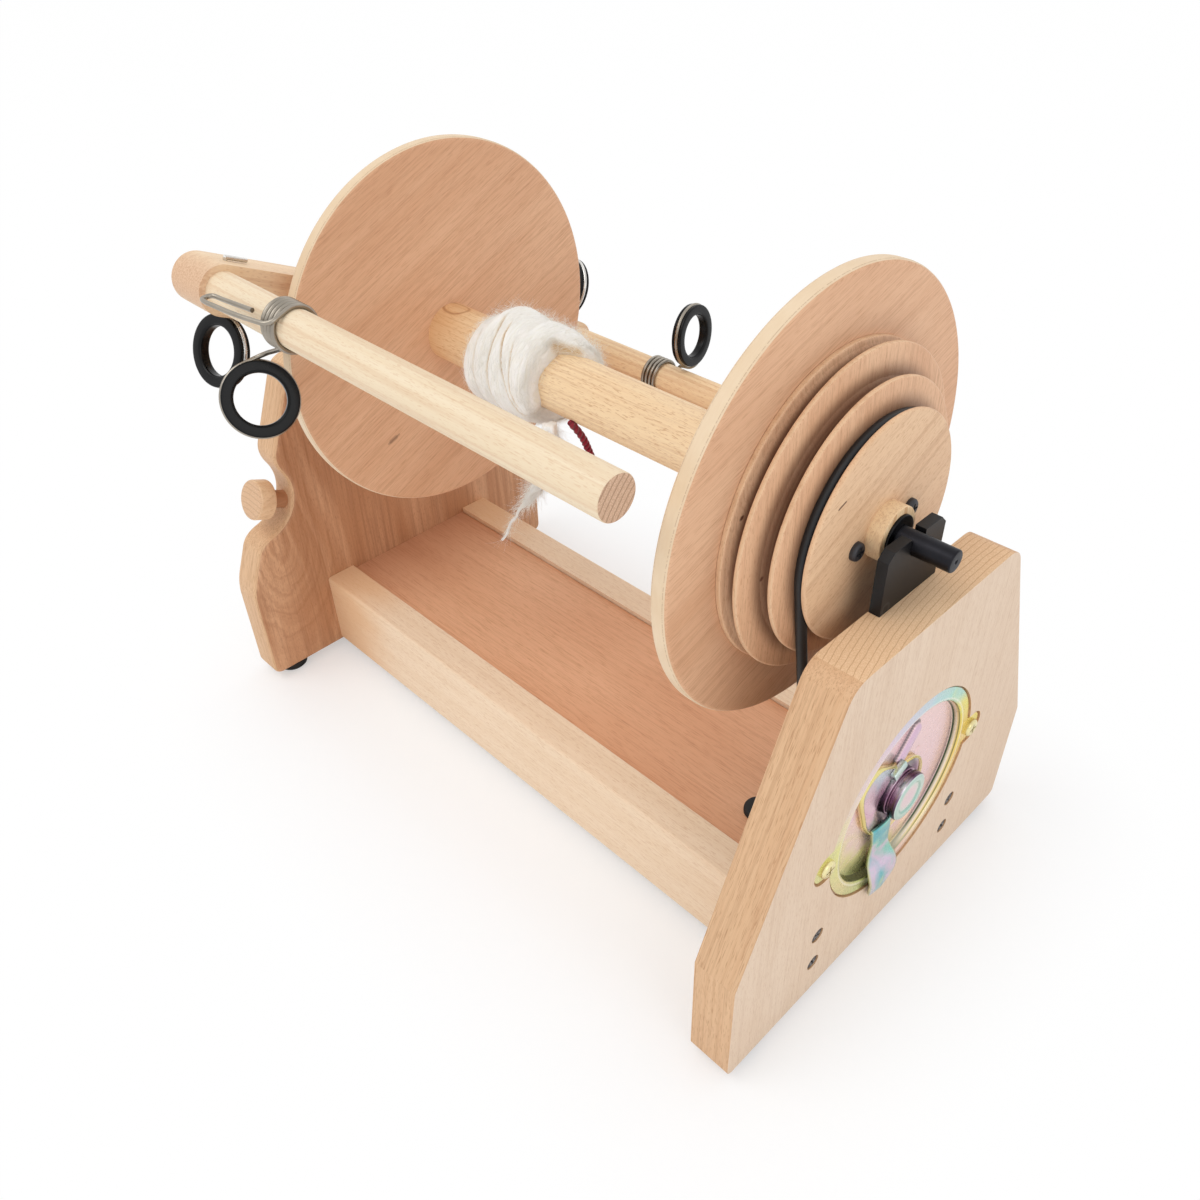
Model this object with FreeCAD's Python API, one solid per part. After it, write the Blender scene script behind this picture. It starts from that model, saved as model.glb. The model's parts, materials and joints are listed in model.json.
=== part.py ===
import FreeCAD, Part
import os
from math import acos, cos, hypot, pi, radians, sin, sqrt
from FreeCAD import Placement, Rotation, Vector

os.makedirs("parts", exist_ok=True)

# Electric spinning wheel with a motor-driven bobbin.
# +X runs along the bobbin's axis to the motor end, +Y to the back, +Z up.
# The origin is on the table, under the middle of the frame. All sizes are in millimetres.

# Frame
axis_height = 189.0
foot_height = 4.0
foot_radius = 8.0
foot_inset = 14.0
foot_chamfer = 0.8
board_thickness = 18.0
board_width = 191.0
axis_over_board = 20.0
board_shoulder_height = 55.0
board_top_width = 98.0
board_corner_radius = 10.0
board_base_radius = 3.0
rail_thickness = 16.0
rail_spacing = 92.0
rail_height = 41.5
rail_lift = 2.0
rail_edge_radius = 1.5
base_thickness = 9.0
base_drop = 2.3
base_gap = 0.4
grommet_radius = 6.0
grommet_height = 3.0
grommet_lip = 1.6
grommet_softness = 1.8
grommet_back = 18.0
grommet_inset = 33.0
frame_screw_radius = 1.8
frame_screw_length = 50.0
frame_screw_head_radius = 3.4
frame_screw_head_height = 2.4
frame_screw_sink = 1.2
frame_screw_pitch = 17.7
frame_screw_top = 7.0
screw_head_softness = 0.6
screw_slot_length = 1.2
screw_slot_width = 0.35
screw_slot_floor = 0.6
screw_point = 0.2

# Bearing cradles let into the inner edges of the boards
cradle_thickness = 4.0
cradle_half_width = 16.5
cradle_depth = 20.0
cradle_rise = 3.8
cradle_chamfer = 3.0
cradle_inset = 0.3
cradle_screw_spacing = 20.0
cradle_screw_drop = 11.0
cradle_screw_radius = 1.6
cradle_screw_length = 14.0
cradle_screw_head_radius = 3.0
cradle_screw_head_height = 1.8

# Shafts and fits
shaft_radius = 4.0
running_clearance = 0.06
shaft_past_cradle = 13.6
tube_radius = 8.0
tube_bore_radius = 5.5
tube_past_board = 6.0
hub_shoulder_radius = 11.0
hub_flange_radius = 17.0
hub_flange_thickness = 5.0
hub_shoulder_gap = 0.5
hub_length = 24.3
yarn_window_radius = 3.6

# Bobbin
disc_radius = 80.0
disc_thickness = 6.6
disc_edge_radius = 0.8
winding_width = 195.0
core_radius = 12.5
bush_radius = 6.0
bush_length = 14.0
bush_flange_radius = 7.5
bush_flange_thickness = 1.0
pulley_space = 30.5
pulley_length = 21.7
rim_thickness = 2.0
largest_rim_radius = 57.2
middle_rim_radius = 48.5
smallest_rim_radius = 40.3
groove_depth = 4.8
groove_shape = [(0.06, 0.42), (0.18, 0.10), (0.40, 0.0), (0.60, 0.0), (0.82, 0.10), (0.94, 0.42)]
boss_radius = 10.0
boss_length = 5.8
boss_edge_radius = 0.6
pulley_screw_circle = 15.0
pulley_screw_angle = 4.0
pulley_screw_radius = 1.7
pulley_screw_length = 18.0
pulley_screw_head_radius = 3.3
pulley_screw_head_height = 2.2

# Flyer
flyer_angle = 24.6
arm_distance = 99.5
arm_radius = 7.5
arm_end_setback = 8.0
arm_tenon = 18.0
crossbar_gap = 10.8
crossbar_thickness = 22.0
crossbar_half_width = 10.0
crossbar_waist = 14.0
crossbar_waist_length = 34.0
collar_radius = 6.5
collar_gap = 0.5
shaft_chamfer = 0.6
hub_web = 2.0
tube_lip = 1.0
crossbar_swell = 0.55
ring_radius = 14.8
ring_bore_radius = 10.4
ring_thickness = 5.0
ring_softness = 0.9
ring_groove_radius = 13.2
ring_groove_width = 2.3
groove_taper = 0.7
fixed_ring_setback = 8.5
fixed_ring_inset = 7.4
fixed_ring_drop = 25.2
fixed_ring_yaw = 10.0
pin_inset = 3.3
clench_lift = 0.4
clench_length = 9.0

# Wire clips with their sliding rings
wire_radius = 0.9
clip_clearance = 0.10
clip_gap = 0.45
near_clip_x = -54.5
near_clip_turns = 4.5
near_ring_offset = 18.0
near_ring_reach = 33.2
near_ring_angle = -73.4
near_ring_yaw = 19.4
near_ring_tip = 25.5
near_tail_lean = 20.0
far_clip_x = -42.0
far_clip_turns = 4.0
far_clip_twist = 75.0
far_ring_offset = 12.5
far_ring_reach = 24.0
far_ring_angle = 68.0
far_ring_yaw = 9.8
far_ring_tip = 4.7
far_tail_lean = 0.0
tail_spread = 35.0
tail_lead = 5.0
handle_end_angle = 70.0
handle_lead = 8.0
handle_length = 31.0
handle_reach = 18.6
handle_width = 6.4
handle_angle = 22.0
handle_drift = 7.0
handle_lift = 0.3
handle_bend = 0.85
handle_tuck = 0.2
handle_end = 0.25

# Motor and drive
motor_clearance = 3.8
motor_hole_radius = 41.0
plate_radius = 44.5
plate_thickness = 1.4
plate_recess = 2.0
plate_recess_gap = 0.8
dish_radius = 38.5
dish_floor_radius = 34.0
dish_depth = 3.0
dish_wall_slant = 1.2
dish_wall_overlap = 0.5
bead_half_length = 6.1
bead_rise = 28.6
ear_distance = 47.5
ear_radius = 6.5
ear_screw_radius = 1.7
ear_screw_length = 13.0
ear_screw_head_radius = 3.8
ear_screw_head_height = 2.0
cap_radius = 10.2
cap_length = 6.5
cap_edge_radius = 1.0
cap_dimple_radius = 6.3
cap_dimple_depth = 0.5
strap_width = 14.0
strap_pad_width = 26.0
strap_pad_rise = 24.0
strap_reach = 53.0
strap_pad_drop = 14.2
strap_pad_corner = 4.0
strap_step = 0.5
strap_floor_gap = 2.0
strap_rise_inset = 1.0
strap_bend_inset = 2.5
strap_bend_reach = 1.0
housing_radius = 33.0
housing_proud = 4.0
housing_edge_radius = 3.0
housing_nose_radius = 8.2
housing_nose_proud = 1.5
housing_floor = 4.0
motor_shaft_radius = 3.0
motor_shaft_proud = 1.0
motor_shaft_end_gap = 0.6
belt_radius = 1.5
belt_seat = 0.3
drive_ratio = 2.0
motor_pulley_rim = 2.0
motor_pulley_width = 9.0
motor_pulley_land = 1.5
motor_groove_half = 1.35
belt_slack = 0.05

# Tension peg in its notch
notch_radius = 22.0
notch_offset = 7.4
notch_middle = 104.0
peg_stem_radius = 4.5
peg_head_radius = 10.0
peg_head_length = 9.0
peg_reach = 9.5
peg_depth = 26.0
peg_under = 0.25
peg_shoulder = 0.55
peg_crown = 0.87
peg_neck_share = 0.7
peg_side_share = 0.97
peg_crown_share = 0.68
peg_flat_share = 0.15

# Wool and leader on the bobbin
roving_radius = 4.4
roving_turns = 5.75
roving_pitch = 9.6
roving_start = 26.0
roving_start_angle = 270.0
tail_radius = 1.8
tail_run = 13.0
tail_steps = 4
tail_sway = 0.55
tail_sway_loss = 0.75
tail_drift = 0.68
leader_radius = 1.4
leader_offset = 6.9
leader_angle = 216.7
leader_run = 9.5
leader_steps = 4
leader_sway = 0.42
leader_drift = 0.12
press_depth = 0.2
gap_steps = 48

# Places worked out from the sizes above
board_bottom = foot_height
board_top = axis_height - axis_over_board
board_height = board_top - board_bottom
flyer_space = crossbar_gap + crossbar_thickness + hub_length + hub_shoulder_gap - cradle_inset
frame_span = pulley_space + 2 * disc_thickness + winding_width + flyer_space
inner_face = frame_span / 2
outer_face = inner_face + board_thickness
rail_bottom = board_bottom + rail_lift
rail_top = rail_bottom + rail_height
base_top = rail_top - base_drop
disc_face = inner_face - pulley_space
bobbin_rear = disc_face - disc_thickness
bobbin_front = bobbin_rear - winding_width
bobbin_front_back = bobbin_front - disc_thickness
pulley_face = disc_face + pulley_length
boss_face = pulley_face + boss_length
cradle_back = inner_face + cradle_inset
cradle_front = cradle_back + cradle_thickness
shaft_end = cradle_front + shaft_past_cradle
crossbar_face = bobbin_front_back - crossbar_gap
crossbar_back = crossbar_face - crossbar_thickness
arm_end = disc_face - arm_end_setback
motor_height = base_top + motor_clearance + housing_radius
pulley_step = (pulley_length - rim_thickness) / 3
belt_x = disc_face + 2 * pulley_step + (pulley_step + rim_thickness) / 2
belt_groove_radius = smallest_rim_radius - groove_depth + belt_radius + belt_seat
motor_groove_radius = belt_groove_radius / drive_ratio
axis_point = Vector(0, 0, axis_height)
along = Vector(1, 0, 0)


def save(shape, name):
    shape.exportStep("parts/" + name + ".step")


def cylinder(radius, start, length, y=0.0, z=None):
    height = axis_height if z is None else z
    return Part.makeCylinder(radius, length, Vector(start, y, height), along)


def rim_edges(shape, x):
    """The round edges that lie in the plane at x."""
    return [e for e in shape.Edges if abs(e.BoundBox.XMin - x) < 0.01 and e.BoundBox.XLength < 0.01]


def revolve(profile, z=None):
    """A solid of revolution about the X axis from (x, radius) corners."""
    height = axis_height if z is None else z
    corners = [Vector(x, 0, height + r) for x, r in profile]
    face = Part.Face(Part.makePolygon(corners + [corners[0]]))
    return face.revolve(Vector(0, 0, height), along, 360)


def pan_screw(head_radius, head_height, shank_radius, length):
    """A pan-head screw, its head's seat at the origin and its shank along -Z."""
    head = Part.makeCylinder(head_radius, head_height)
    head = head.makeFillet(head_height * screw_head_softness, [head.Edges[0]])
    reach = head_radius * screw_slot_length
    width = head_height * screw_slot_width
    slot = Part.makeBox(reach, width, head_height)
    slot.translate(Vector(-reach / 2, -width / 2, head_height * screw_slot_floor))
    cross = slot.copy()
    cross.rotate(Vector(0, 0, 0), Vector(0, 0, 1), 90)
    point = shank_radius * 2
    shank = Part.makeCylinder(shank_radius, length - point, Vector(0, 0, 0), Vector(0, 0, -1))
    narrow = shank_radius * screw_point
    tip = Part.makeCone(shank_radius, narrow, point, Vector(0, 0, point - length), Vector(0, 0, -1))
    return head.fuse([shank, tip]).cut([slot, cross]).removeSplitter()


def place_along(shape, position, direction):
    shape = shape.copy()
    shape.Placement = Placement(position, Rotation(Vector(0, 0, 1), direction)).multiply(shape.Placement)
    return shape


def biarc(start, start_direction, end, end_direction):
    """Two arcs that leave start and reach end along the given unit directions."""
    span = end - start
    total = start_direction + end_direction
    spread = 2 * (1 - start_direction.dot(end_direction))
    reach = (-span.dot(total) + sqrt(span.dot(total) ** 2 + spread * span.dot(span))) / spread
    first = start + start_direction * reach
    last = end - end_direction * reach
    join = (first + last) * 0.5
    arcs = []
    for a, corner, b in ((start, first, join), (join, last, end)):
        weight = (b - a).Length / 2 / reach
        middle = (a + b + corner * (2 * weight)) * (1 / (2 + 2 * weight))
        arcs.append(Part.Arc(a, middle, b).toShape())
    return arcs


def rounded_path(points, radii=None):
    """Straight runs joined by tangent arcs, each as large as its two runs allow."""
    edges = []
    last = points[0]
    for before, corner, after in zip(points, points[1:], points[2:]):
        inward = before - corner
        outward = after - corner
        run = min(inward.Length, outward.Length)
        inward.normalize()
        outward.normalize()
        turn = pi - acos(max(-1, min(1, inward.dot(outward))))
        cut = 0.45 * run
        radius = cut / abs(sin(turn / 2) / cos(turn / 2))
        begin = corner + inward * cut
        finish = corner + outward * cut
        weight = cos(turn / 2)
        middle = (begin + finish + corner * (2 * weight)) * (1 / (2 + 2 * weight))
        edges.append(Part.LineSegment(last, begin).toShape())
        edges.append(Part.Arc(begin, middle, finish).toShape())
        last = finish
        if radii is not None:
            radii.append(round(radius, 1))
    edges.append(Part.LineSegment(last, points[-1]).toShape())
    return edges


def tube(edges, radius, start, heading):
    """A round tube along a path."""
    circle = Part.Wire(Part.makeCircle(radius, start, heading))
    shell = Part.BRepOffsetAPI.MakePipeShell(Part.Wire(edges))
    shell.add(circle)
    shell.build()
    shell.makeSolid()
    return shell.shape()


def board_outline(x):
    """The end board's outline in the plane at x: upright foot, sloping shoulders, rounded top."""
    half = board_width / 2
    top = board_top_width / 2
    shoulder = board_bottom + board_shoulder_height
    corners = [(-half, board_bottom), (half, board_bottom), (half, shoulder), (top, board_top),
               (-top, board_top), (-half, shoulder)]
    points = [Vector(x, y, z) for y, z in corners]
    return Part.Face(Part.makePolygon(points + [points[0]]))


def is_corner(edge, y, z):
    middle = edge.valueAt((edge.FirstParameter + edge.LastParameter) / 2)
    return abs(abs(middle.y) - y) < 0.01 and abs(middle.z - z) < 0.01


def plain_board(x):
    """One end board from its inner face at x outward."""
    outward = board_thickness if x > 0 else -board_thickness
    board = board_outline(x).extrude(Vector(outward, 0, 0))
    tops = [e for e in board.Edges if is_corner(e, board_top_width / 2, board_top)]
    feet = [e for e in board.Edges if is_corner(e, board_width / 2, board_bottom)]
    return board.makeFillet(board_corner_radius, tops).makeFillet(board_base_radius, feet)


def screw_places():
    """Where the frame screws go through each board, as (y, z)."""
    high = rail_top - frame_screw_top
    return [(side * rail_spacing / 2, high - row * frame_screw_pitch) for side in (-1, 1) for row in (0, 1)]


def frame_screw(side, y, z):
    seat = Vector(side * (outer_face - frame_screw_sink - frame_screw_head_height), y, z)
    screw = pan_screw(frame_screw_head_radius, frame_screw_head_height, frame_screw_radius, frame_screw_length)
    return place_along(screw, seat, Vector(side, 0, 0))


def frame_screws():
    return Part.makeCompound([frame_screw(side, y, z) for side in (-1, 1) for y, z in screw_places()])


def screw_holes(side):
    """Counterbores and pilot holes for one board's screws."""
    depth = frame_screw_sink + frame_screw_head_height
    reach = side * (outer_face - depth - frame_screw_length)
    holes = []
    for y, z in screw_places():
        sink = Vector(side * (outer_face - depth), y, z)
        pilot = Vector(reach, y, z)
        outward = Vector(side, 0, 0)
        holes.append(Part.makeCylinder(frame_screw_head_radius, depth, sink, outward))
        holes.append(Part.makeCylinder(frame_screw_radius, frame_screw_length + depth, pilot, outward))
    return holes


def cradle_blank(side, grow=0.0):
    """The plate of a bearing cradle, with its two chamfered prongs, before the notch is cut."""
    low = board_top - cradle_depth
    high = axis_height + cradle_rise
    half = cradle_half_width
    corners = [(-half, low), (half, low), (half, high - cradle_chamfer), (half - cradle_chamfer, high),
               (cradle_chamfer - half, high), (-half, high - cradle_chamfer)]
    points = [Vector(side * cradle_back, y, z) for y, z in corners]
    plate = Part.Face(Part.makePolygon(points + [points[0]]))
    return plate.extrude(Vector(side * (cradle_thickness + grow), 0, 0))


def cradle_pocket(side):
    """The pocket in the board that the cradle's plate lies in."""
    pocket = Part.makeBox(cradle_front - inner_face, 2 * cradle_half_width, cradle_depth + 1)
    start = inner_face if side > 0 else -cradle_front
    pocket.translate(Vector(start, -cradle_half_width, board_top - cradle_depth))
    return pocket


def cradle_screw_places():
    z = board_top - cradle_screw_drop
    return [(-cradle_screw_spacing / 2, z), (cradle_screw_spacing / 2, z)]


def cradle_screw_holes(side):
    holes = []
    for y, z in cradle_screw_places():
        bottom = Vector(side * (cradle_back + cradle_screw_length), y, z)
        hole = Part.makeCylinder(cradle_screw_radius, cradle_screw_length + 1, bottom, Vector(-side, 0, 0))
        holes.append(hole)
    return holes


def cradle(side, journal_radius):
    """An open-topped bearing for a journal: a U notch between two prongs."""
    radius = journal_radius + running_clearance
    start = side * (cradle_back - 1)
    middle = Vector(start, 0, axis_height)
    seat = Part.makeCylinder(radius, cradle_thickness + 2, middle, Vector(side, 0, 0))
    mouth = Part.makeBox(cradle_thickness + 2, 2 * radius, cradle_rise + radius)
    mouth.translate(Vector(min(start, start + side * (cradle_thickness + 2)), -radius, axis_height))
    return cradle_blank(side).cut([seat, mouth] + cradle_screw_holes(side))


def cradle_screws():
    screws = []
    for side in (-1, 1):
        for y, z in cradle_screw_places():
            screw = pan_screw(cradle_screw_head_radius, cradle_screw_head_height,
                              cradle_screw_radius, cradle_screw_length)
            screws.append(place_along(screw, Vector(side * cradle_back, y, z), Vector(-side, 0, 0)))
    return Part.makeCompound(screws)


def plate_outline(grow, x, depth):
    """The motor plate's outline, a disc with two screw ears, grown all round and made depth thick."""
    disc = Part.makeCylinder(plate_radius + grow, depth, Vector(x, 0, motor_height), along)
    ears = []
    for side in (-1, 1):
        y = side * ear_distance
        ears.append(Part.makeCylinder(ear_radius + grow, depth, Vector(x, y, motor_height), along))
        web = Part.makeBox(depth, ear_distance, 2 * (ear_radius + grow))
        web.translate(Vector(x, min(0, y), motor_height - ear_radius - grow))
        ears.append(web)
    return disc.fuse(ears).removeSplitter()


def drive_board():
    """The thick board at the drive end, with the motor's opening and its shallow recess."""
    opening = cylinder(motor_hole_radius, inner_face - 1, board_thickness + 2, 0, motor_height)
    recess = plate_outline(plate_recess_gap, outer_face - plate_recess, plate_recess + 1)
    holes = screw_holes(1) + cradle_screw_holes(1) + ear_holes()
    return plain_board(inner_face).cut([opening, recess, cradle_pocket(1)] + holes)


def slope():
    """Unit direction up the near shoulder of a board, and the direction square out of it."""
    run = (board_width - board_top_width) / 2
    rise = board_height - board_shoulder_height
    length = hypot(run, rise)
    return Vector(0, run / length, rise / length), Vector(0, -rise / length, run / length)


def notch_centre():
    upward, outward = slope()
    rise = notch_middle - board_bottom - board_shoulder_height
    edge = Vector(0, -board_width / 2, board_bottom + board_shoulder_height) + upward * (rise / upward.z)
    return edge + outward * notch_offset


def peg_seat():
    """The middle of the notch's floor, half way through the board."""
    outward = slope()[1]
    return notch_centre() - outward * notch_radius + Vector(-inner_face - board_thickness / 2, 0, 0)


def orifice_board():
    """The board at the orifice end, with the curved notch and the hole for the tension peg."""
    centre = notch_centre()
    start = Vector(1 - inner_face, centre.y, centre.z)
    notch = Part.makeCylinder(notch_radius, board_thickness + 2, start, Vector(-1, 0, 0))
    outward = slope()[1]
    bottom = peg_seat() - outward * (peg_depth + 1)
    hole = Part.makeCylinder(peg_stem_radius + running_clearance, peg_depth + 3, bottom, outward)
    holes = screw_holes(-1) + cradle_screw_holes(-1)
    return plain_board(-inner_face).cut([notch, hole, cradle_pocket(-1)] + holes)


def tension_peg():
    """A turned peg with a mushroom head."""
    neck = peg_depth + peg_reach
    under = neck + peg_head_length * peg_under
    shoulder = neck + peg_head_length * peg_shoulder
    crown = neck + peg_head_length * peg_crown
    top = neck + peg_head_length
    side = peg_head_radius * peg_side_share
    corners = [(0, 0), (peg_stem_radius, 0), (peg_stem_radius, neck), (peg_head_radius * peg_neck_share, neck),
               (side, under), (peg_head_radius, (under + shoulder) / 2), (side, shoulder),
               (peg_head_radius * peg_crown_share, crown), (peg_head_radius * peg_flat_share, top), (0, top)]
    profile = [Vector(r, 0, z) for r, z in corners]
    edges = [Part.LineSegment(a, b).toShape() for a, b in zip(profile[:4], profile[1:5])]
    edges.append(Part.Arc(profile[4], profile[5], profile[6]).toShape())
    edges.append(Part.Arc(profile[6], profile[7], profile[8]).toShape())
    edges.append(Part.LineSegment(profile[8], profile[9]).toShape())
    edges.append(Part.LineSegment(profile[9], profile[0]).toShape())
    peg = Part.Face(Part.Wire(edges)).revolve(Vector(0, 0, 0), Vector(0, 0, 1), 360)
    outward = slope()[1]
    return place_along(peg, peg_seat() - outward * peg_depth, outward)


def rail(side):
    """A tall plank between the boards, with softened long edges."""
    plank = Part.makeBox(frame_span, rail_thickness, rail_height)
    plank.translate(Vector(-inner_face, side * rail_spacing / 2 - rail_thickness / 2, rail_bottom))
    outer = side * (rail_spacing + rail_thickness) / 2
    edges = [e for e in plank.Edges if e.Length > frame_span - 1 and abs(e.valueAt(0).y - outer) < 0.01]
    return plank.makeFillet(rail_edge_radius, edges).cut(screw_holes(1) + screw_holes(-1))


def base_width():
    return rail_spacing - rail_thickness


def base_panel():
    """The plywood panel between the rails, tight to the near one with a fine gap at the far one."""
    panel = Part.makeBox(frame_span, base_width() - base_gap, base_thickness)
    panel.translate(Vector(-inner_face, -base_width() / 2, base_top - base_thickness))
    bottom = grommet_place() - Vector(0, 0, base_thickness + 1)
    return panel.cut(Part.makeCylinder(grommet_radius - grommet_lip, base_thickness + 2, bottom))


def grommet_place():
    return Vector(inner_face - grommet_inset, -grommet_back, base_top)


def base_grommet():
    """A rubber grommet pressed into the base panel."""
    foot = grommet_place()
    body = Part.makeCylinder(grommet_radius - grommet_lip, base_thickness, foot - Vector(0, 0, base_thickness))
    lip = Part.makeCylinder(grommet_radius, grommet_height, foot)
    lip = lip.makeFillet(grommet_softness, [lip.Edges[0]])
    return body.fuse(lip).removeSplitter()


def rubber_feet():
    feet = []
    for side in (-1, 1):
        for face in (-1, 1):
            place = Vector(side * (inner_face + board_thickness / 2), face * (board_width / 2 - foot_inset), 0)
            foot = Part.makeCylinder(foot_radius, foot_height, place)
            feet.append(foot.makeChamfer(foot_chamfer, [foot.Edges[2]]))
    return Part.makeCompound(feet)


def ear_holes():
    start = outer_face - plate_recess - ear_screw_length
    depth = ear_screw_length + plate_recess + 1
    return [cylinder(ear_screw_radius, start, depth, side * ear_distance, motor_height) for side in (-1, 1)]


def motor_plate():
    """The pressed-steel mounting plate: a rim with two ears round a shallow dish."""
    back = outer_face - plate_recess
    front = back + plate_thickness
    floor = front - dish_depth
    rim = plate_outline(0, back, plate_thickness)
    well = cylinder(dish_radius, back - 1, plate_thickness + 2, 0, motor_height)
    slant = plate_thickness * dish_wall_slant
    outside = dish_radius + dish_wall_overlap
    inside = dish_radius - slant * (dish_radius - dish_floor_radius) / (plate_thickness + dish_depth)
    wall = revolve([(front, dish_radius), (front, outside), (back, outside), (back, inside),
                    (floor - plate_thickness, dish_floor_radius - slant), (floor - plate_thickness, 0),
                    (floor, 0), (floor, dish_floor_radius)], motor_height)
    ends = [Vector(floor, side * bead_half_length, motor_height + bead_rise) for side in (-1, 1)]
    bead = Part.makeCylinder(plate_thickness, 2 * bead_half_length, ends[0], Vector(0, 1, 0))
    bead = bead.fuse([Part.makeSphere(plate_thickness, end) for end in ends])
    plate = rim.cut(well).fuse([wall, bead]).cut(ear_holes())
    return plate.removeSplitter()


def floor_face():
    """Where the dish's floor faces outward."""
    return outer_face - plate_recess + plate_thickness - dish_depth


def motor_cap():
    """The short round bearing cap in the middle of the dish."""
    start = floor_face()
    cap = cylinder(cap_radius, start, cap_length, 0, motor_height)
    cap = cap.makeFillet(cap_edge_radius, rim_edges(cap, start + cap_length))
    dimple = cylinder(cap_dimple_radius, start + cap_length - cap_dimple_depth, 1, 0, motor_height)
    return cap.cut(dimple)


def motor_strap():
    """The pressed strap that lies in the dish, then bends over the rim onto the wood below."""
    floor = floor_face()
    rim = outer_face - plate_recess + plate_thickness
    t = plate_thickness
    under = [(floor, cap_radius), (floor, dish_floor_radius - strap_floor_gap),
             (rim, dish_radius - strap_rise_inset), (rim, plate_radius - strap_bend_inset),
             (outer_face, plate_radius + strap_bend_reach), (outer_face, strap_reach)]
    over = [(x + t, r + strap_step) for x, r in under[1:5]]
    outline = under + [(outer_face + t, strap_reach)] + over[::-1] + [(floor + t, cap_radius)]
    points = [Vector(x, -strap_width / 2, motor_height - r) for x, r in outline]
    tail = Part.Face(Part.makePolygon(points + [points[0]])).extrude(Vector(0, strap_width, 0))
    pad = Part.makeBox(t, strap_pad_width, strap_pad_rise + strap_pad_drop)
    pad.translate(Vector(floor, -strap_pad_width, motor_height - strap_pad_drop))
    corners = [e for e in pad.Edges if abs(e.Length - t) < 0.01]
    pad = pad.makeFillet(strap_pad_corner, corners)
    seat = cylinder(cap_radius, floor - 1, t + 2, 0, motor_height)
    return tail.fuse(pad).cut(seat).removeSplitter()


def motor_screws():
    screws = []
    for side in (-1, 1):
        screw = pan_screw(ear_screw_head_radius, ear_screw_head_height, ear_screw_radius, ear_screw_length)
        seat = Vector(outer_face - plate_recess + plate_thickness, side * ear_distance, motor_height)
        screws.append(place_along(screw, seat, along))
    return Part.makeCompound(screws)


def motor_housing():
    """The flat motor body behind the plate, inside the board's opening."""
    back = floor_face() - plate_thickness
    front = inner_face - housing_proud
    body = cylinder(housing_radius, front, back - front, 0, motor_height)
    body = body.makeFillet(housing_edge_radius, rim_edges(body, front))
    nose = cylinder(housing_nose_radius, front - housing_nose_proud, 2 * housing_nose_proud, 0, motor_height)
    start = front - housing_nose_proud - 1
    depth = shaft_bottom() + motor_shaft_end_gap - start
    bore = cylinder(motor_shaft_radius + running_clearance, start, depth, 0, motor_height)
    return body.fuse(nose).cut(bore)


def shaft_bottom():
    """Where the motor's shaft ends inside its housing."""
    return floor_face() - plate_thickness - housing_floor


def motor_shaft():
    start = belt_x - motor_pulley_width / 2 - motor_shaft_proud
    return cylinder(motor_shaft_radius, start, shaft_bottom() - start, 0, motor_height)


def motor_pulley():
    """The small grooved pulley on the motor's shaft."""
    rim = motor_groove_radius + motor_pulley_rim
    floor = motor_groove_radius - belt_radius - belt_seat
    first = belt_x - motor_pulley_width / 2
    last = belt_x + motor_pulley_width / 2
    return revolve([(first, motor_shaft_radius), (first, rim), (first + motor_pulley_land, rim),
                    (belt_x - motor_groove_half, floor), (belt_x + motor_groove_half, floor),
                    (last - motor_pulley_land, rim), (last, rim), (last, motor_shaft_radius)], motor_height)


def drive_belt():
    """The round belt: two arcs on the pulleys joined by two straight runs."""
    large = belt_groove_radius
    small = motor_groove_radius
    tilt = acos((large - small) / (axis_height - motor_height))
    edges = []
    tops = [Vector(belt_x, side * large * sin(tilt), axis_height - large * cos(tilt)) for side in (-1, 1)]
    lows = [Vector(belt_x, side * small * sin(tilt), motor_height - small * cos(tilt)) for side in (-1, 1)]
    crown = Vector(belt_x, 0, axis_height + large)
    keel = Vector(belt_x, 0, motor_height - small)
    edges.append(Part.LineSegment(lows[0], tops[0]).toShape())
    edges.append(Part.Arc(tops[0], crown, tops[1]).toShape())
    edges.append(Part.LineSegment(tops[1], lows[1]).toShape())
    edges.append(Part.Arc(lows[1], keel, lows[0]).toShape())
    path = Part.Wire(edges)
    circle = Part.Wire(Part.makeCircle(belt_radius - belt_slack, lows[0], tops[0] - lows[0]))
    return path.makePipeShell([circle], True, False)


def bobbin_disc(start):
    """One large disc of the bobbin, with its softened rim and the hole for the bush."""
    disc = cylinder(disc_radius, start, disc_thickness)
    rims = [e for e in disc.Edges if e.BoundBox.XLength < 0.01]
    disc = disc.makeFillet(disc_edge_radius, rims)
    return disc.cut(cylinder(bush_radius, start - 1, disc_thickness + 2))


def bobbin_core():
    bar = cylinder(core_radius, bobbin_front, winding_width)
    return bar.cut(cylinder(bush_radius, bobbin_front - 1, winding_width + 2))


def drive_pulley():
    """The stepped pulley: four rims with three rounded grooves between them."""
    radii = [largest_rim_radius, largest_rim_radius, middle_rim_radius, smallest_rim_radius]
    profile = [(disc_face, bush_radius), (disc_face, radii[0]), (disc_face + rim_thickness, radii[0])]
    for index in range(3):
        begin = disc_face + index * pulley_step + rim_thickness
        finish = disc_face + (index + 1) * pulley_step
        floor = radii[index + 1] - groove_depth
        for share, height in groove_shape:
            profile.append((begin + (finish - begin) * share, floor + groove_depth * height))
        profile.append((finish, radii[index + 1]))
        profile.append((finish + rim_thickness, radii[index + 1]))
    profile.append((pulley_face, bush_radius))
    return revolve(profile).cut(pulley_screw_holes())


def pulley_screw_places():
    angle = radians(pulley_screw_angle)
    out = pulley_screw_circle * cos(angle)
    up = pulley_screw_circle * sin(angle)
    return [Vector(pulley_face, side * out, axis_height + side * up) for side in (-1, 1)]


def pulley_screw_holes():
    return [Part.makeCylinder(pulley_screw_radius, pulley_screw_length + 1, place + along, along * -1)
            for place in pulley_screw_places()]


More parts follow.
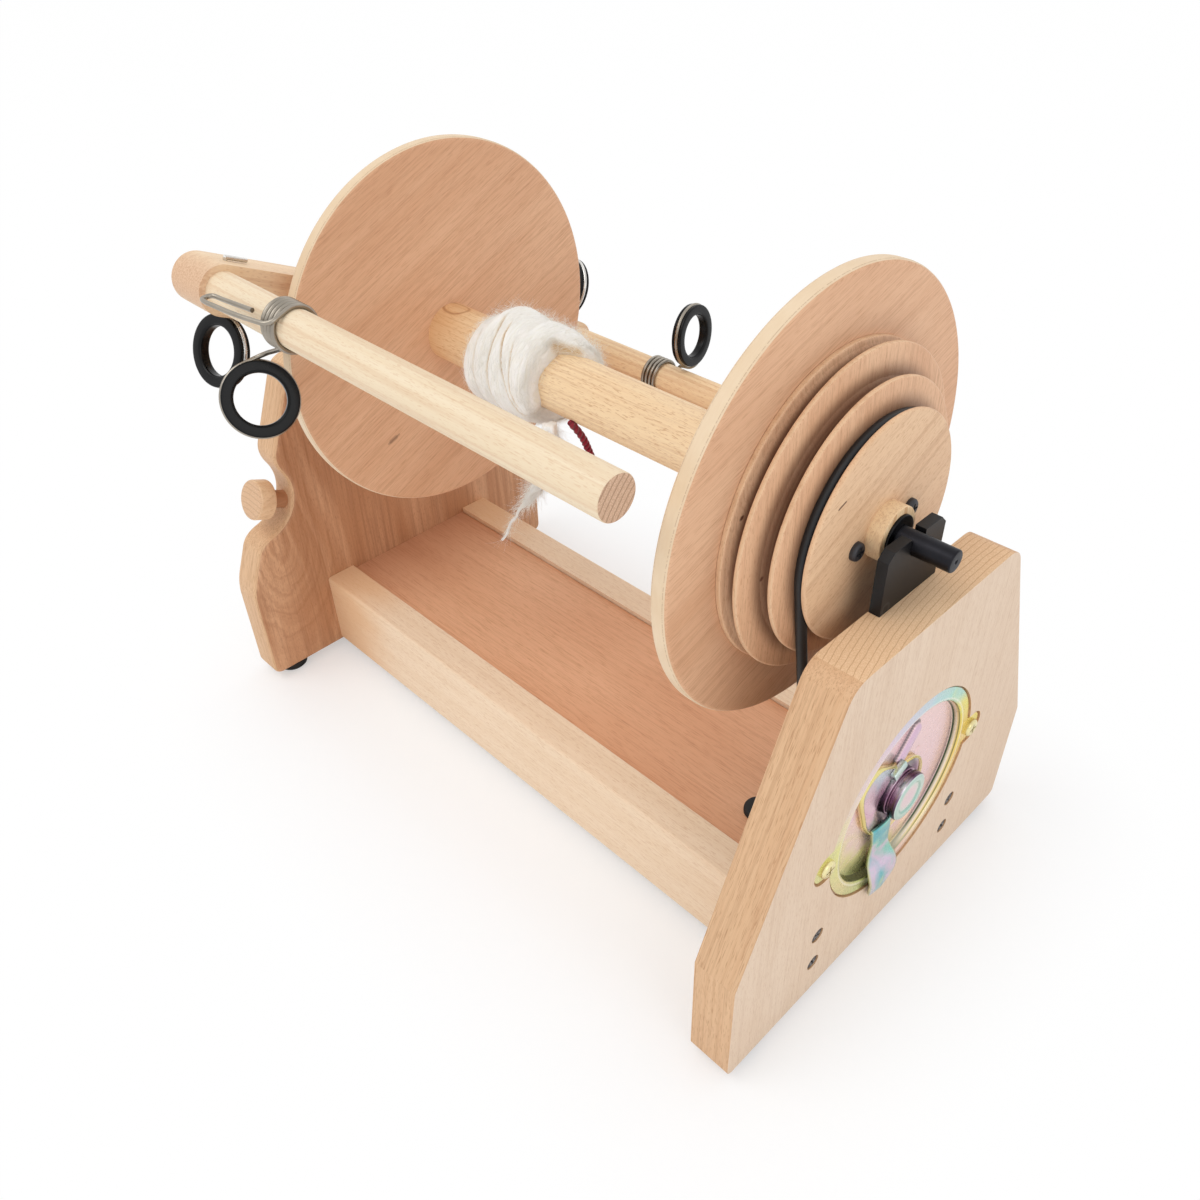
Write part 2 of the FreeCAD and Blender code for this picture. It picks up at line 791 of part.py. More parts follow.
def pulley_screws():
    screws = []
    for place in pulley_screw_places():
        screw = pan_screw(pulley_screw_head_radius, pulley_screw_head_height,
                          pulley_screw_radius, pulley_screw_length)
        screws.append(place_along(screw, place, along))
    return Part.makeCompound(screws)


def pulley_boss():
    """The small wooden boss round the rear bush."""
    boss = cylinder(boss_radius, pulley_face, boss_length)
    boss = boss.makeFillet(boss_edge_radius, rim_edges(boss, boss_face))
    return boss.cut(cylinder(bush_radius, pulley_face - 1, boss_length + 2))


def bush(face, inward):
    """A flanged bush with its flange on the face and its sleeve going inward (+1 or -1 along X)."""
    bore = shaft_radius + running_clearance
    front = face - inward * bush_flange_thickness
    end = face + inward * bush_length
    return revolve([(front, bore), (front, bush_flange_radius), (face, bush_flange_radius),
                    (face, bush_radius), (end, bush_radius), (end, bore)])


def flyer_turn(shape, half_turn=False):
    """Turns a piece built on the level flyer, near arm at -Y, to the angle that the flyer rests at."""
    turned = shape.copy()
    turned.rotate(axis_point, along, -flyer_angle + (180 if half_turn else 0))
    return turned


def level_place(x, distance, height=0.0):
    """A point beside the near arm of the level flyer."""
    return Vector(x, -distance, axis_height + height)


def crossbar_blank():
    """The crossbar's outline, swelling round its hub and rounded at both ends, made into a bar."""
    half = crossbar_half_width
    swell = crossbar_waist_length * crossbar_swell
    side = [(arm_distance, half), (crossbar_waist_length, half), (swell, crossbar_waist)]
    row = side + [(-y, z) for y, z in reversed(side)]
    upper = [Vector(crossbar_back, y, axis_height + z) for y, z in row]
    lower = [Vector(p.x, -p.y, 2 * axis_height - p.z) for p in upper]
    edges = [Part.LineSegment(a, b).toShape() for a, b in zip(upper, upper[1:])]
    ends = [Vector(crossbar_back, side * (arm_distance + half), axis_height) for side in (-1, 1)]
    edges.append(Part.Arc(upper[-1], ends[0], lower[0]).toShape())
    edges += [Part.LineSegment(a, b).toShape() for a, b in zip(lower, lower[1:])]
    edges.append(Part.Arc(lower[-1], ends[1], upper[0]).toShape())
    return Part.Face(Part.Wire(edges)).extrude(Vector(crossbar_thickness, 0, 0))


def flyer_crossbar():
    """The bar across the flyer, bored for the shaft, the two arms and the rings' wires."""
    sockets = []
    for side in (-1, 1):
        bottom = Vector(crossbar_face - arm_tenon, side * arm_distance, axis_height)
        sockets.append(Part.makeCylinder(arm_radius, arm_tenon + 1, bottom, along))
    bore = cylinder(shaft_radius, crossbar_back - 1, crossbar_thickness + 2)
    return flyer_turn(crossbar_blank().cut(sockets + [bore, pin_hole(False), pin_hole(True)]))


def flyer_arm(half_turn):
    """A straight dowel arm, glued into the crossbar, with its free end softened."""
    start = crossbar_face - arm_tenon
    arm = Part.makeCylinder(arm_radius, arm_end - start, level_place(start, arm_distance), along)
    arm = arm.makeChamfer(shaft_chamfer, rim_edges(arm, arm_end))
    return flyer_turn(arm.cut(pin_hole(False)), half_turn)


def flyer_shaft():
    """The steel shaft from the hub through the bobbin to past the cradle."""
    start = crossbar_back - hub_flange_thickness
    shaft = cylinder(shaft_radius, start, shaft_end - start)
    return shaft.makeChamfer(shaft_chamfer, rim_edges(shaft, shaft_end))


def shaft_collar():
    length = crossbar_gap - bush_flange_thickness - collar_gap
    ring = cylinder(collar_radius, crossbar_face, length)
    return ring.cut(cylinder(shaft_radius, crossbar_face - 1, length + 2))


def orifice_hub():
    """The turned hub on the crossbar: flange, shoulder and the hollow journal that the yarn enters."""
    flange = crossbar_back - hub_flange_thickness
    root = flange - hub_web
    shoulder = -cradle_back + hub_shoulder_gap
    end = -outer_face - tube_past_board
    body = revolve([(crossbar_back, 0), (crossbar_back, hub_flange_radius), (flange, hub_flange_radius),
                    (root, hub_shoulder_radius), (shoulder, hub_shoulder_radius), (shoulder, tube_radius),
                    (end, tube_radius), (end, tube_bore_radius + tube_lip), (end + tube_lip, tube_bore_radius),
                    (root, tube_bore_radius), (root, 0)])
    middle = (root + shoulder) / 2
    front = Vector(middle, -hub_shoulder_radius - 1, axis_height)
    window = Part.makeCylinder(yarn_window_radius, 2 * hub_shoulder_radius + 2, front, Vector(0, 1, 0))
    return flyer_turn(body.cut([cylinder(shaft_radius, flange, hub_flange_thickness + 1), window]))


def guide_ring():
    """A grooved guide ring round the Z axis, centred on the origin."""
    half = ring_thickness / 2
    groove = ring_groove_width / 2
    soft = ring_softness
    inner = ring_bore_radius
    floor = groove * groove_taper
    profile = [(inner + soft, -half), (ring_radius - soft, -half), (ring_radius, soft - half),
               (ring_radius, -groove), (ring_groove_radius, -floor), (ring_groove_radius, floor),
               (ring_radius, groove), (ring_radius, half - soft), (ring_radius - soft, half),
               (inner + soft, half), (inner, half - soft), (inner, soft - half)]
    points = [Vector(r, 0, z) for r, z in profile]
    return Part.Face(Part.makePolygon(points + [points[0]])).revolve(Vector(0, 0, 0), Vector(0, 0, 1), 360)


def wire_loop(centre, facing):
    """The loop of wire that lies in a guide ring's groove."""
    return place_along(Part.makeTorus(ring_groove_radius + wire_radius, wire_radius), centre, facing)


def fixed_ring_centre():
    """Centre of the fixed ring beside the near end of the level crossbar."""
    return level_place(crossbar_face - fixed_ring_setback, arm_distance - fixed_ring_inset, -fixed_ring_drop)


def fixed_ring_facing():
    return Vector(sin(radians(fixed_ring_yaw)), -cos(radians(fixed_ring_yaw)), 0)


def pin_foot():
    """Where the fixed ring's wire leaves the top of the ring's groove."""
    return fixed_ring_centre() + Vector(0, 0, ring_groove_radius + wire_radius)


def pin_top():
    """The middle of the wire's bend on top of the crossbar."""
    return level_place(pin_foot().x, arm_distance - pin_inset, crossbar_half_width + wire_radius + clench_lift)


def pin_hole(half_turn):
    """The slanted hole for a fixed ring's wire, through the crossbar and the arm's tenon."""
    span = pin_top() - pin_foot()
    hole = Part.makeCylinder(wire_radius, span.Length, pin_foot(), span)
    if half_turn:
        hole.rotate(axis_point, along, 180)
    return hole


def fixed_ring(half_turn):
    """A ring that stays at the crossbar's end, facing outward."""
    return flyer_turn(place_along(guide_ring(), fixed_ring_centre(), fixed_ring_facing()), half_turn)


def ring_pin(half_turn):
    """The fixed ring's wire: a loop in the ring's groove, a shank through the crossbar, a clenched end."""
    foot = pin_foot()
    top = pin_top()
    knee = Part.makeSphere(wire_radius, top)
    shank = Part.makeCylinder(wire_radius, (top - foot).Length, foot, top - foot)
    clench = Part.makeCylinder(wire_radius, clench_length, top, Vector(0, 1, 0))
    loop = wire_loop(fixed_ring_centre(), fixed_ring_facing())
    return flyer_turn(loop.fuse([shank, knee, clench]), half_turn)


def arm_centre(side):
    """Centre of the near (-1) or far (+1) arm with the flyer at rest."""
    angle = radians(flyer_angle)
    return Vector(0, side * arm_distance * cos(angle), axis_height - side * arm_distance * sin(angle))


def beside_arm(side, x, reach, angle):
    """A point beside an arm, at a reach from its centre and an angle in degrees from outward to upward."""
    turn = radians(angle)
    return arm_centre(side) + Vector(x, side * reach * cos(turn), reach * sin(turn))


def clip_values(side):
    """A clip's coil position along X, its number of turns and how far it is turned on its arm."""
    if side < 0:
        return near_clip_x, near_clip_turns, 0.0
    return far_clip_x, far_clip_turns, -far_clip_twist


def clip_coil(side):
    """The coil that grips the arm, as biarcs, with the position and heading of both ends."""
    middle, turns, twist = clip_values(side)
    pitch = 2 * wire_radius + clip_gap
    radius = arm_radius + clip_clearance + wire_radius
    print("clip coil: least gap to itself", round(measured_gap(radius, pitch, wire_radius), 2), "mm")
    first = handle_end_angle + twist + 360 * turns

    def spot(turn):
        return beside_arm(side, middle - side * pitch * (turn - turns / 2), radius, first - 360 * turn)

    def heading(turn):
        angle = radians(first - 360 * turn)
        way = Vector(-side * pitch / (2 * pi), side * radius * sin(angle), -radius * cos(angle))
        return way.normalize()

    edges = []
    for quarter in range(int(turns * 4)):
        begin = quarter / 4
        finish = (quarter + 1) / 4
        edges += biarc(spot(begin), heading(begin), spot(finish), heading(finish))
    return edges, spot(0), heading(0), spot(turns), heading(turns)


def hook_ring_centre(side):
    """Centre of a sliding ring: below the near arm, above the far one."""
    if side < 0:
        return beside_arm(side, near_clip_x - near_ring_offset, near_ring_reach, near_ring_angle)
    return beside_arm(side, far_clip_x + far_ring_offset, far_ring_reach, far_ring_angle)


def hook_ring_facing(side):
    """The way a sliding ring faces: along the arm, yawed outward and tipped upward."""
    yaw = radians(near_ring_yaw if side < 0 else far_ring_yaw)
    tip = radians(near_ring_tip if side < 0 else far_ring_tip)
    return Vector(cos(yaw) * cos(tip), side * sin(yaw) * cos(tip), sin(tip))


def hook_ring(side):
    return place_along(guide_ring(), hook_ring_centre(side), hook_ring_facing(side))


def tail_points(side, coil_end, away):
    """The tail from the ring's groove to the coil: it leaves the groove along the loop."""
    centre = hook_ring_centre(side)
    facing = hook_ring_facing(side)
    span = coil_end - centre
    toward = span - facing * span.dot(facing)
    toward.normalize()
    lean = near_tail_lean if side < 0 else far_tail_lean
    toward = Rotation(facing, lean).multVec(toward)
    across = facing.cross(toward)
    spread = radians(tail_spread)
    radius = ring_groove_radius + wire_radius
    meeting = centre + (toward * cos(spread) + across * sin(spread)) * radius
    corner = centre + toward * (radius / cos(spread))
    return [meeting, corner, coil_end + away * tail_lead, coil_end]


def handle_points(side, coil_end, heading):
    """The hairpin handle that is squeezed to slide the clip."""
    middle, turns, twist = clip_values(side)
    outer = handle_reach
    inner = handle_reach - handle_width
    tuck = handle_width * handle_tuck
    back = handle_angle + handle_drift

    def spot(share, reach, angle):
        return beside_arm(side, middle + side * handle_length * share, reach, angle + twist)

    return [coil_end, coil_end + heading * handle_lead,
            spot(handle_lift, (outer + inner) / 2, handle_angle), spot(handle_bend, outer, handle_angle),
            spot(1.0, outer - tuck, handle_angle), spot(1.0, inner + tuck, back),
            spot(handle_bend, inner, back), spot(handle_end, inner - tuck, back + handle_drift)]


def hook_wire(side):
    """The spring-wire clip in one bend: ring loop and tail, coil round the arm, hairpin handle."""
    coil, begin, begin_heading, finish, finish_heading = clip_coil(side)
    tail = tail_points(side, begin, begin_heading * -1)
    handle = handle_points(side, finish, finish_heading)
    radii = []
    path = rounded_path(tail, radii) + coil + rounded_path(handle, radii)
    print("clip wire: bend radii", radii)
    wire = tube(path, wire_radius, tail[0], tail[1] - tail[0])
    return wire.fuse(wire_loop(hook_ring_centre(side), hook_ring_facing(side)))


def measured_gap(radius, pitch, thickness):
    """Least gap between neighbouring turns of a helix, measured on points of its centre line."""
    steps = gap_steps
    line = []
    for index in range(2 * steps + 1):
        angle = 2 * pi * index / steps
        line.append(Vector(pitch * index / steps, radius * cos(angle), radius * sin(angle)))
    least = min((a - b).Length for index, a in enumerate(line) for b in line[index + steps // 2:])
    return least - 2 * thickness


def roving_coil():
    """The roving's turns round the core, as biarcs, with the position and heading of both ends."""
    radius = core_radius + roving_radius - press_depth
    start = bobbin_front + roving_start

    def spot(turn):
        angle = radians(roving_start_angle) + 2 * pi * turn
        return Vector(start + roving_pitch * turn, radius * cos(angle), axis_height + radius * sin(angle))

    def heading(turn):
        angle = radians(roving_start_angle) + 2 * pi * turn
        return Vector(roving_pitch / (2 * pi), -radius * sin(angle), radius * cos(angle)).normalize()

    edges = []
    for quarter in range(int(roving_turns * 4)):
        begin = quarter / 4
        finish = (quarter + 1) / 4
        edges += biarc(spot(begin), heading(begin), spot(finish), heading(finish))
    return edges, spot(0), heading(0), spot(roving_turns), heading(roving_turns)


def wool_winding():
    """The roving wound round the bobbin's core, one unbroken tube with straight ends."""
    coil, begin, begin_heading, finish, finish_heading = roving_coil()
    radius = core_radius + roving_radius - press_depth
    gap = measured_gap(radius, roving_pitch, roving_radius)
    print("wool winding: least gap to itself", round(gap, 2), "mm")
    lead = 2 * roving_radius
    first = begin - begin_heading * lead
    path = [Part.LineSegment(first, begin).toShape()] + coil
    path.append(Part.LineSegment(finish, finish + finish_heading * lead).toShape())
    return tube(path, roving_radius, first, begin_heading)


def wool_tail():
    """The loose end of the roving, hanging below the winding."""
    coil, begin, begin_heading, finish, heading = roving_coil()
    start = finish + heading * 2 * roving_radius
    points = [start, start + heading * tail_run]
    for step in range(1, tail_steps + 1):
        share = step / tail_steps
        way = Vector(-tail_drift * share, -tail_sway * (1 - tail_sway_loss * share), -1)
        points.append(points[-1] + way.normalize() * tail_run)
    return strand(points, tail_radius, "wool tail")


def strand(points, radius, name):
    """A free strand along a route of rounded bends, with its measures printed."""
    radii = []
    edges = rounded_path(points, radii)
    length = sum(edge.Length for edge in edges)
    shape = tube(edges, radius, points[0], points[1] - points[0])
    share = shape.Volume / (length * pi * radius ** 2)
    print(name, "bend radii", radii, "length", round(length, 1), "volume by section", round(share, 3))
    for point in points:
        print("   route", round(point.x, 2), round(point.y, 2), round(point.z, 2))
    return shape


def red_leader():
    """The leader cord that hangs from the core beside the wool."""
    x = bobbin_front + roving_start + roving_turns * roving_pitch + leader_offset
    reach = core_radius + leader_radius - press_depth
    angle = radians(leader_angle)
    first = Vector(x, reach * cos(angle), axis_height + reach * sin(angle))
    heading = Vector(0, -sin(angle), cos(angle))
    points = [first, first + heading * leader_run]
    for step in range(1, leader_steps):
        share = step / leader_steps
        way = Vector(leader_drift * step, leader_sway * (1 - share), -1)
        points.append(points[-1] + way.normalize() * leader_run)
    return strand(points, leader_radius, "red leader")


save(drive_board(), "drive_end_board")
save(orifice_board(), "orifice_end_board")
save(rail(-1), "near_rail")
save(rail(1), "far_rail")
save(base_panel(), "base_panel")
save(base_grommet(), "base_grommet")
save(rubber_feet(), "rubber_feet")
save(frame_screws(), "frame_screws")
save(cradle(1, shaft_radius), "drive_cradle")
save(cradle(-1, tube_radius), "orifice_cradle")
save(cradle_screws(), "cradle_screws")
save(motor_plate(), "motor_plate")
save(motor_cap(), "motor_cap")
save(motor_strap(), "motor_strap")
save(motor_screws(), "motor_screws")
save(motor_housing(), "motor_housing")
save(motor_shaft(), "motor_shaft")
save(motor_pulley(), "motor_pulley")
save(drive_belt(), "drive_belt")
save(tension_peg(), "tension_peg")
save(bobbin_disc(bobbin_front_back), "front_disc")
save(bobbin_disc(bobbin_rear), "rear_disc")
save(bobbin_core(), "bobbin_core")
save(drive_pulley(), "drive_pulley")
save(pulley_boss(), "pulley_boss")
save(pulley_screws(), "pulley_screws")
save(bush(boss_face, -1), "rear_bush")
save(bush(bobbin_front_back, 1), "front_bush")
save(wool_winding(), "wool_winding")
save(wool_tail(), "wool_tail")
save(red_leader(), "red_leader")
save(flyer_crossbar(), "flyer_crossbar")
save(flyer_shaft(), "flyer_shaft")
save(shaft_collar(), "shaft_collar")
save(orifice_hub(), "orifice_hub")
for side, name in ((-1, "near"), (1, "far")):
    half_turn = side > 0
    save(flyer_arm(half_turn), name + "_arm")
    save(fixed_ring(half_turn), name + "_fixed_ring")
    save(ring_pin(half_turn), name + "_ring_pin")
    save(hook_ring(side), name + "_hook_ring")
    save(hook_wire(side), name + "_hook_wire")
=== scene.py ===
# Electric spinning wheel: beech boards and rails, a belt-driven bobbin, and a flyer with guide rings.
import json
import math
import bmesh
import bpy
import numpy as np
from mathutils import Matrix, Vector


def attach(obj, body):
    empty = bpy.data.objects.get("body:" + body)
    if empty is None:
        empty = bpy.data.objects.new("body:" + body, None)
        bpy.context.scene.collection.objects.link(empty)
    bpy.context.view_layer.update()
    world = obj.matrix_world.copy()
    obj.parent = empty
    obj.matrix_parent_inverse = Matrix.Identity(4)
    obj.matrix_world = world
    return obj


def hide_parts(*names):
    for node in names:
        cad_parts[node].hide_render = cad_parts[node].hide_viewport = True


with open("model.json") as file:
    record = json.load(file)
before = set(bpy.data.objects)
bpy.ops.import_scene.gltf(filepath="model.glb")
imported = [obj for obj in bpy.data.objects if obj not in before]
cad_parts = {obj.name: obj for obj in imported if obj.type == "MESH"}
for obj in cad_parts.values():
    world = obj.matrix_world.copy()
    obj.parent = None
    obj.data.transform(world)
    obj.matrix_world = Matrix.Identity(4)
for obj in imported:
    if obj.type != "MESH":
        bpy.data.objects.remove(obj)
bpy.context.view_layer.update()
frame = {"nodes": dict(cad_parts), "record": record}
nodes = frame["nodes"]
bodyOf = {name: body for body, names in frame["record"]["behaviour"]["bodies"].items() for name in names}
axisHeight = 0.189  # the bobbin's axis above the table
motorHeight = 0.082  # the motor's axis
flyerAngle = math.radians(24.6)  # how far the flyer is turned at rest
half, whole = math.pi / 2, 2 * math.pi
upright = (0, half, 0)  # a turn that lays the grain along Z
rng = np.random.default_rng(7)
print("stage: frame loaded,", len(nodes), "nodes")


# screen values from 0 to 255 as the linear values that shaders use
def srgb(colour):
    values = np.array(colour) / 255.0
    return tuple(np.where(values <= 0.04045, values / 12.92, ((values + 0.055) / 1.055) ** 2.4).tolist())


# A socket wrapped so that Python's own signs add Math nodes; above() eases from 0 to 1 past an edge.
class Wire:
    def __init__(self, finish, socket):
        self.finish = finish
        self.socket = socket

    def math(self, operation, a, b=0.0):
        return self.finish.node("ShaderNodeMath", {"operation": operation}, {0: a, 1: b})

    def __add__(self, other): return self.math("ADD", self, other)
    def __radd__(self, other): return self.math("ADD", other, self)
    def __sub__(self, other): return self.math("SUBTRACT", self, other)
    def __rsub__(self, other): return self.math("SUBTRACT", other, self)
    def __mul__(self, other): return self.math("MULTIPLY", self, other)
    def __truediv__(self, other): return self.math("DIVIDE", self, other)
    def __pow__(self, other): return self.math("POWER", self, other)
    def least(self, other): return self.math("MINIMUM", self, other)
    def most(self, other): return self.math("MAXIMUM", self, other)
    def size(self): return self.math("ABSOLUTE", self)
    def wave(self): return self.math("SINE", self)

    def above(self, edge, soft):
        spans = {0: self, 1: edge - soft, 2: edge + soft, 3: 0.0, 4: 1.0}
        return self.finish.node("ShaderNodeMapRange", {"interpolation_type": "SMOOTHSTEP"}, spans)

    def below(self, edge, soft):
        return 1.0 - self.above(edge, soft)


# A material written as expressions: node() adds any node, and the rest are short names for common ones. A colour
# is a wire or three screen values.
class Finish:
    def __init__(self, name, **fixed):
        self.material = bpy.data.materials.new(name)
        self.material.use_nodes = True
        self.tree = self.material.node_tree
        self.tree.nodes.clear()
        self.shader = self.tree.nodes.new("ShaderNodeBsdfPrincipled")
        self.output = self.tree.nodes.new("ShaderNodeOutputMaterial")
        self.tree.links.new(self.shader.outputs[0], self.output.inputs[0])
        self.feed(**fixed)

    def node(self, kind, settings=None, inputs=None, output=0):
        made = self.tree.nodes.new(kind)
        for key, value in (settings or {}).items():
            setattr(made, key, value)
        for key, value in (inputs or {}).items():
            self.put(made.inputs[key], value)
        return Wire(self, made.outputs[output])

    def put(self, socket, value):
        if isinstance(value, Wire):
            self.tree.links.new(value.socket, socket)
        elif socket.type == "RGBA":
            socket.default_value = (*srgb(value), 1.0)
        else:
            socket.default_value = value

    def place(self, turn=(0, 0, 0), mirrored=False):
        where = self.node("ShaderNodeTexCoord", output=3)
        if mirrored:
            x, y, z = self.split(where)
            where = self.join(x, y.size(), z)
        return self.node("ShaderNodeMapping", {}, {0: where, 2: turn})

    def stretch(self, vector, scale):
        return self.node("ShaderNodeMapping", {}, {0: vector, 3: scale})

    def noise(self, vector, scale=1.0, detail=2.0, rough=0.5, twist=0.0):
        spans = {"Vector": vector, "Scale": scale, "Detail": detail, "Roughness": rough, "Distortion": twist}
        return self.node("ShaderNodeTexNoise", {}, spans)

    def mix(self, share, a, b):
        return self.node("ShaderNodeMix", {"data_type": "RGBA"}, {0: share, 6: a, 7: b}, 2)

    # a colour that runs through stops, each (place, colour)
    def ramp(self, stops, share):
        made = self.node("ShaderNodeValToRGB", {}, {0: share})
        elements = made.socket.node.color_ramp.elements
        for _ in range(len(stops) - len(elements)):
            elements.new(0.5)
        for element, (at, colour) in zip(elements, stops):
            element.position, element.color = at, (*srgb(colour), 1.0)
        return made

    # the three numbers that a mesh carries at each point for its finish
    def flow(self):
        return self.split(self.node("ShaderNodeAttribute", {"attribute_name": "flow"}, {}, 1))

    def split(self, vector):
        return [self.node("ShaderNodeSeparateXYZ", {}, {0: vector}, i) for i in range(3)]

    def join(self, x, y, z):
        return self.node("ShaderNodeCombineXYZ", {}, {0: x, 1: y, 2: z})

    def vector(self, operation, a, b=(0, 0, 0), output=0):
        return self.node("ShaderNodeVectorMath", {"operation": operation}, {0: a, 1: b}, output)

    # distance to the straight piece from a to b: |p - a - (b - a) h|, h the clamped share along it
    def toLine(self, where, a, b):
        a, b = np.array(a, dtype=float), np.array(b, dtype=float)
        span = b - a
        lifted = self.vector("SUBTRACT", where, tuple(a))
        share = self.vector("DOT_PRODUCT", lifted, tuple(span / float(span @ span)), 1).most(0.0).least(1.0)
        along = self.join(*[share * float(v) for v in span])
        return self.vector("LENGTH", self.vector("SUBTRACT", lifted, along), output=1)

    def feed(self, **links):
        for key, wire in links.items():
            self.put(self.shader.inputs[key.replace("_", " ")], wire)

    def bump(self, height, strength, distance):
        spans = {"Strength": strength, "Distance": distance, "Height": height}
        self.feed(Normal=self.node("ShaderNodeBump", {}, spans))


def shown(thing):
    bpy.context.scene.collection.objects.link(thing)
    return thing


cameraValues = {"place": (0.2773, -0.2568, 0.3850), "azimuth": 46.611, "elevation": 38.683, "roll": -1.983,
                "focalPixels": 1049.933, "framePixels": 1200.0, "sensor": 36.0}


def makeCamera(values):
    az, el, roll = (math.radians(values[key]) for key in ("azimuth", "elevation", "roll"))
    ahead = Vector((-math.sin(az) * math.cos(el), math.cos(az) * math.cos(el), -math.sin(el)))
    level = Vector((math.cos(az), math.sin(az), 0.0))
    up = level.cross(ahead)
    right = level * math.cos(roll) + up * math.sin(roll)
    upward = up * math.cos(roll) - level * math.sin(roll)
    data = bpy.data.cameras.new("camera")
    data.sensor_width = values["sensor"]
    data.lens = values["focalPixels"] / values["framePixels"] * values["sensor"]
    data.clip_start, data.clip_end = 0.01, 20.0
    camera = shown(bpy.data.objects.new("camera", data))
    turn = Matrix((right, upward, -ahead)).transposed().to_4x4()
    camera.matrix_world = Matrix.Translation(values["place"]) @ turn
    bpy.context.scene.camera = camera
    bpy.context.scene.view_settings.view_transform = "Standard"


# each lamp is (name, place, size, power, colour)
lightValues = {"skyStrength": 0.86, "skyColour": (0.985, 0.99, 1.0), "aim": (0.0, 0.0, 0.1),
               "lamps": [("keyLamp", (-0.5, -0.9, 1.7), 1.1, 7.0, (1.0, 0.99, 0.97)),
                         ("fillLamp", (1.5, -0.5, 1.0), 1.0, 3.0, (1.0, 0.995, 0.985)),
                         ("backLamp", (-0.3, 1.3, 1.5), 1.0, 1.5, (1.0, 1.0, 1.0))]}


# the camera and clear or glossy surfaces see a plain white sky, and all else is lit by a dimmer one
def makeLight(values):
    world = bpy.data.worlds.new("sky")
    bpy.context.scene.world = world
    world.use_nodes = True
    tree = world.node_tree
    tree.nodes.clear()
    rays = tree.nodes.new("ShaderNodeLightPath")
    seen = rays.outputs["Is Camera Ray"]
    for key in ("Is Glossy Ray", "Is Transmission Ray"):
        most = tree.nodes.new("ShaderNodeMath")
        most.operation = "MAXIMUM"
        tree.links.new(seen, most.inputs[0])
        tree.links.new(rays.outputs[key], most.inputs[1])
        seen = most.outputs[0]
    mix = tree.nodes.new("ShaderNodeMixShader")
    out = tree.nodes.new("ShaderNodeOutputWorld")
    tree.links.new(seen, mix.inputs[0])
    for slot, colour, strength in ((1, values["skyColour"], values["skyStrength"]), (2, (1, 1, 1), 1.0)):
        part = tree.nodes.new("ShaderNodeBackground")
        part.inputs[0].default_value = (*colour, 1.0)
        part.inputs[1].default_value = strength
        tree.links.new(part.outputs[0], mix.inputs[slot])
    tree.links.new(mix.outputs[0], out.inputs[0])
    for name, place, size, power, colour in values["lamps"]:
        data = bpy.data.lights.new(name, "AREA")
        data.shape, data.size, data.energy, data.color = "DISK", size, power, colour
        lamp = shown(bpy.data.objects.new(name, data))
        toward = Vector(values["aim"]) - Vector(place)
        lamp.matrix_world = Matrix.Translation(place) @ toward.to_track_quat("-Z", "Y").to_matrix().to_4x4()


floorValues = {"reach": 6.0, "light": (252.7449, 252.7449, 253.3112),
               "grain": (248.1528, 248.1528, 248.733), "near": 0.40, "far": 0.98, "half": (0.166, 0.0955),
               "fade": 0.075}


# white paper that keeps the shadow: for the camera a share of it is plain white, less of it close to the feet
def makeFloor(values):
    reach = values["reach"]
    corners = [(-reach, -reach, 0), (reach, -reach, 0), (reach, reach, 0), (-reach, reach, 0)]
    mesh = bpy.data.meshes.new("floor")
    mesh.from_pydata(corners, [], [(0, 1, 2, 3)])
    paper = Finish("floorPaper", Roughness=1.0, Specular_IOR_Level=0.0)
    grain = paper.noise(paper.place(), 30.0, 2.0)
    paper.feed(Base_Color=paper.mix(grain * 0.02, values["light"], values["grain"]))
    x, y, _ = paper.split(paper.place())
    aside, ahead = (x.size() - values["half"][0]).most(0.0), (y.size() - values["half"][1]).most(0.0)
    away = (aside ** 2.0 + ahead ** 2.0) ** 0.5
    share = (away / values["fade"]).least(1.0) * (values["far"] - values["near"]) + values["near"]
    seen = paper.node("ShaderNodeLightPath", output=0) * share
    white = paper.node("ShaderNodeEmission", {}, {0: (255, 255, 255), 1: 1.0})
    looks = {0: seen, 1: Wire(paper, paper.shader.outputs[0]), 2: white}
    paper.put(paper.output.inputs[0], paper.node("ShaderNodeMixShader", {}, looks))
    mesh.materials.append(paper.material)
    shown(bpy.data.objects.new("floor", mesh))


makeCamera(cameraValues)
makeLight(lightValues)
makeFloor(floorValues)
print("stage: camera, floor and light")


# links a finished mesh as a piece: on the body of the node that it replaces, or on a body by name
def settle(name, mesh, materials, node=None, body=None):
    piece = shown(bpy.data.objects.new(name, mesh))
    for material in materials:
        mesh.materials.append(material)
    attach(piece, body or bodyOf[node])
    if node:
        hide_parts(node)
    return piece


def modified(piece, name, kind, **settings):
    modifier = piece.modifiers.new(name, kind)
    for key, value in settings.items():
        setattr(modifier, key, value)
    return piece


def reworked(mesh, edit):
    work = bmesh.new()
    work.from_mesh(mesh)
    edit(work)
    work.to_mesh(mesh)
    work.free()
    return mesh


def allSmooth(mesh):
    mesh.polygons.foreach_set("use_smooth", np.ones(len(mesh.polygons), dtype=bool))
    return mesh


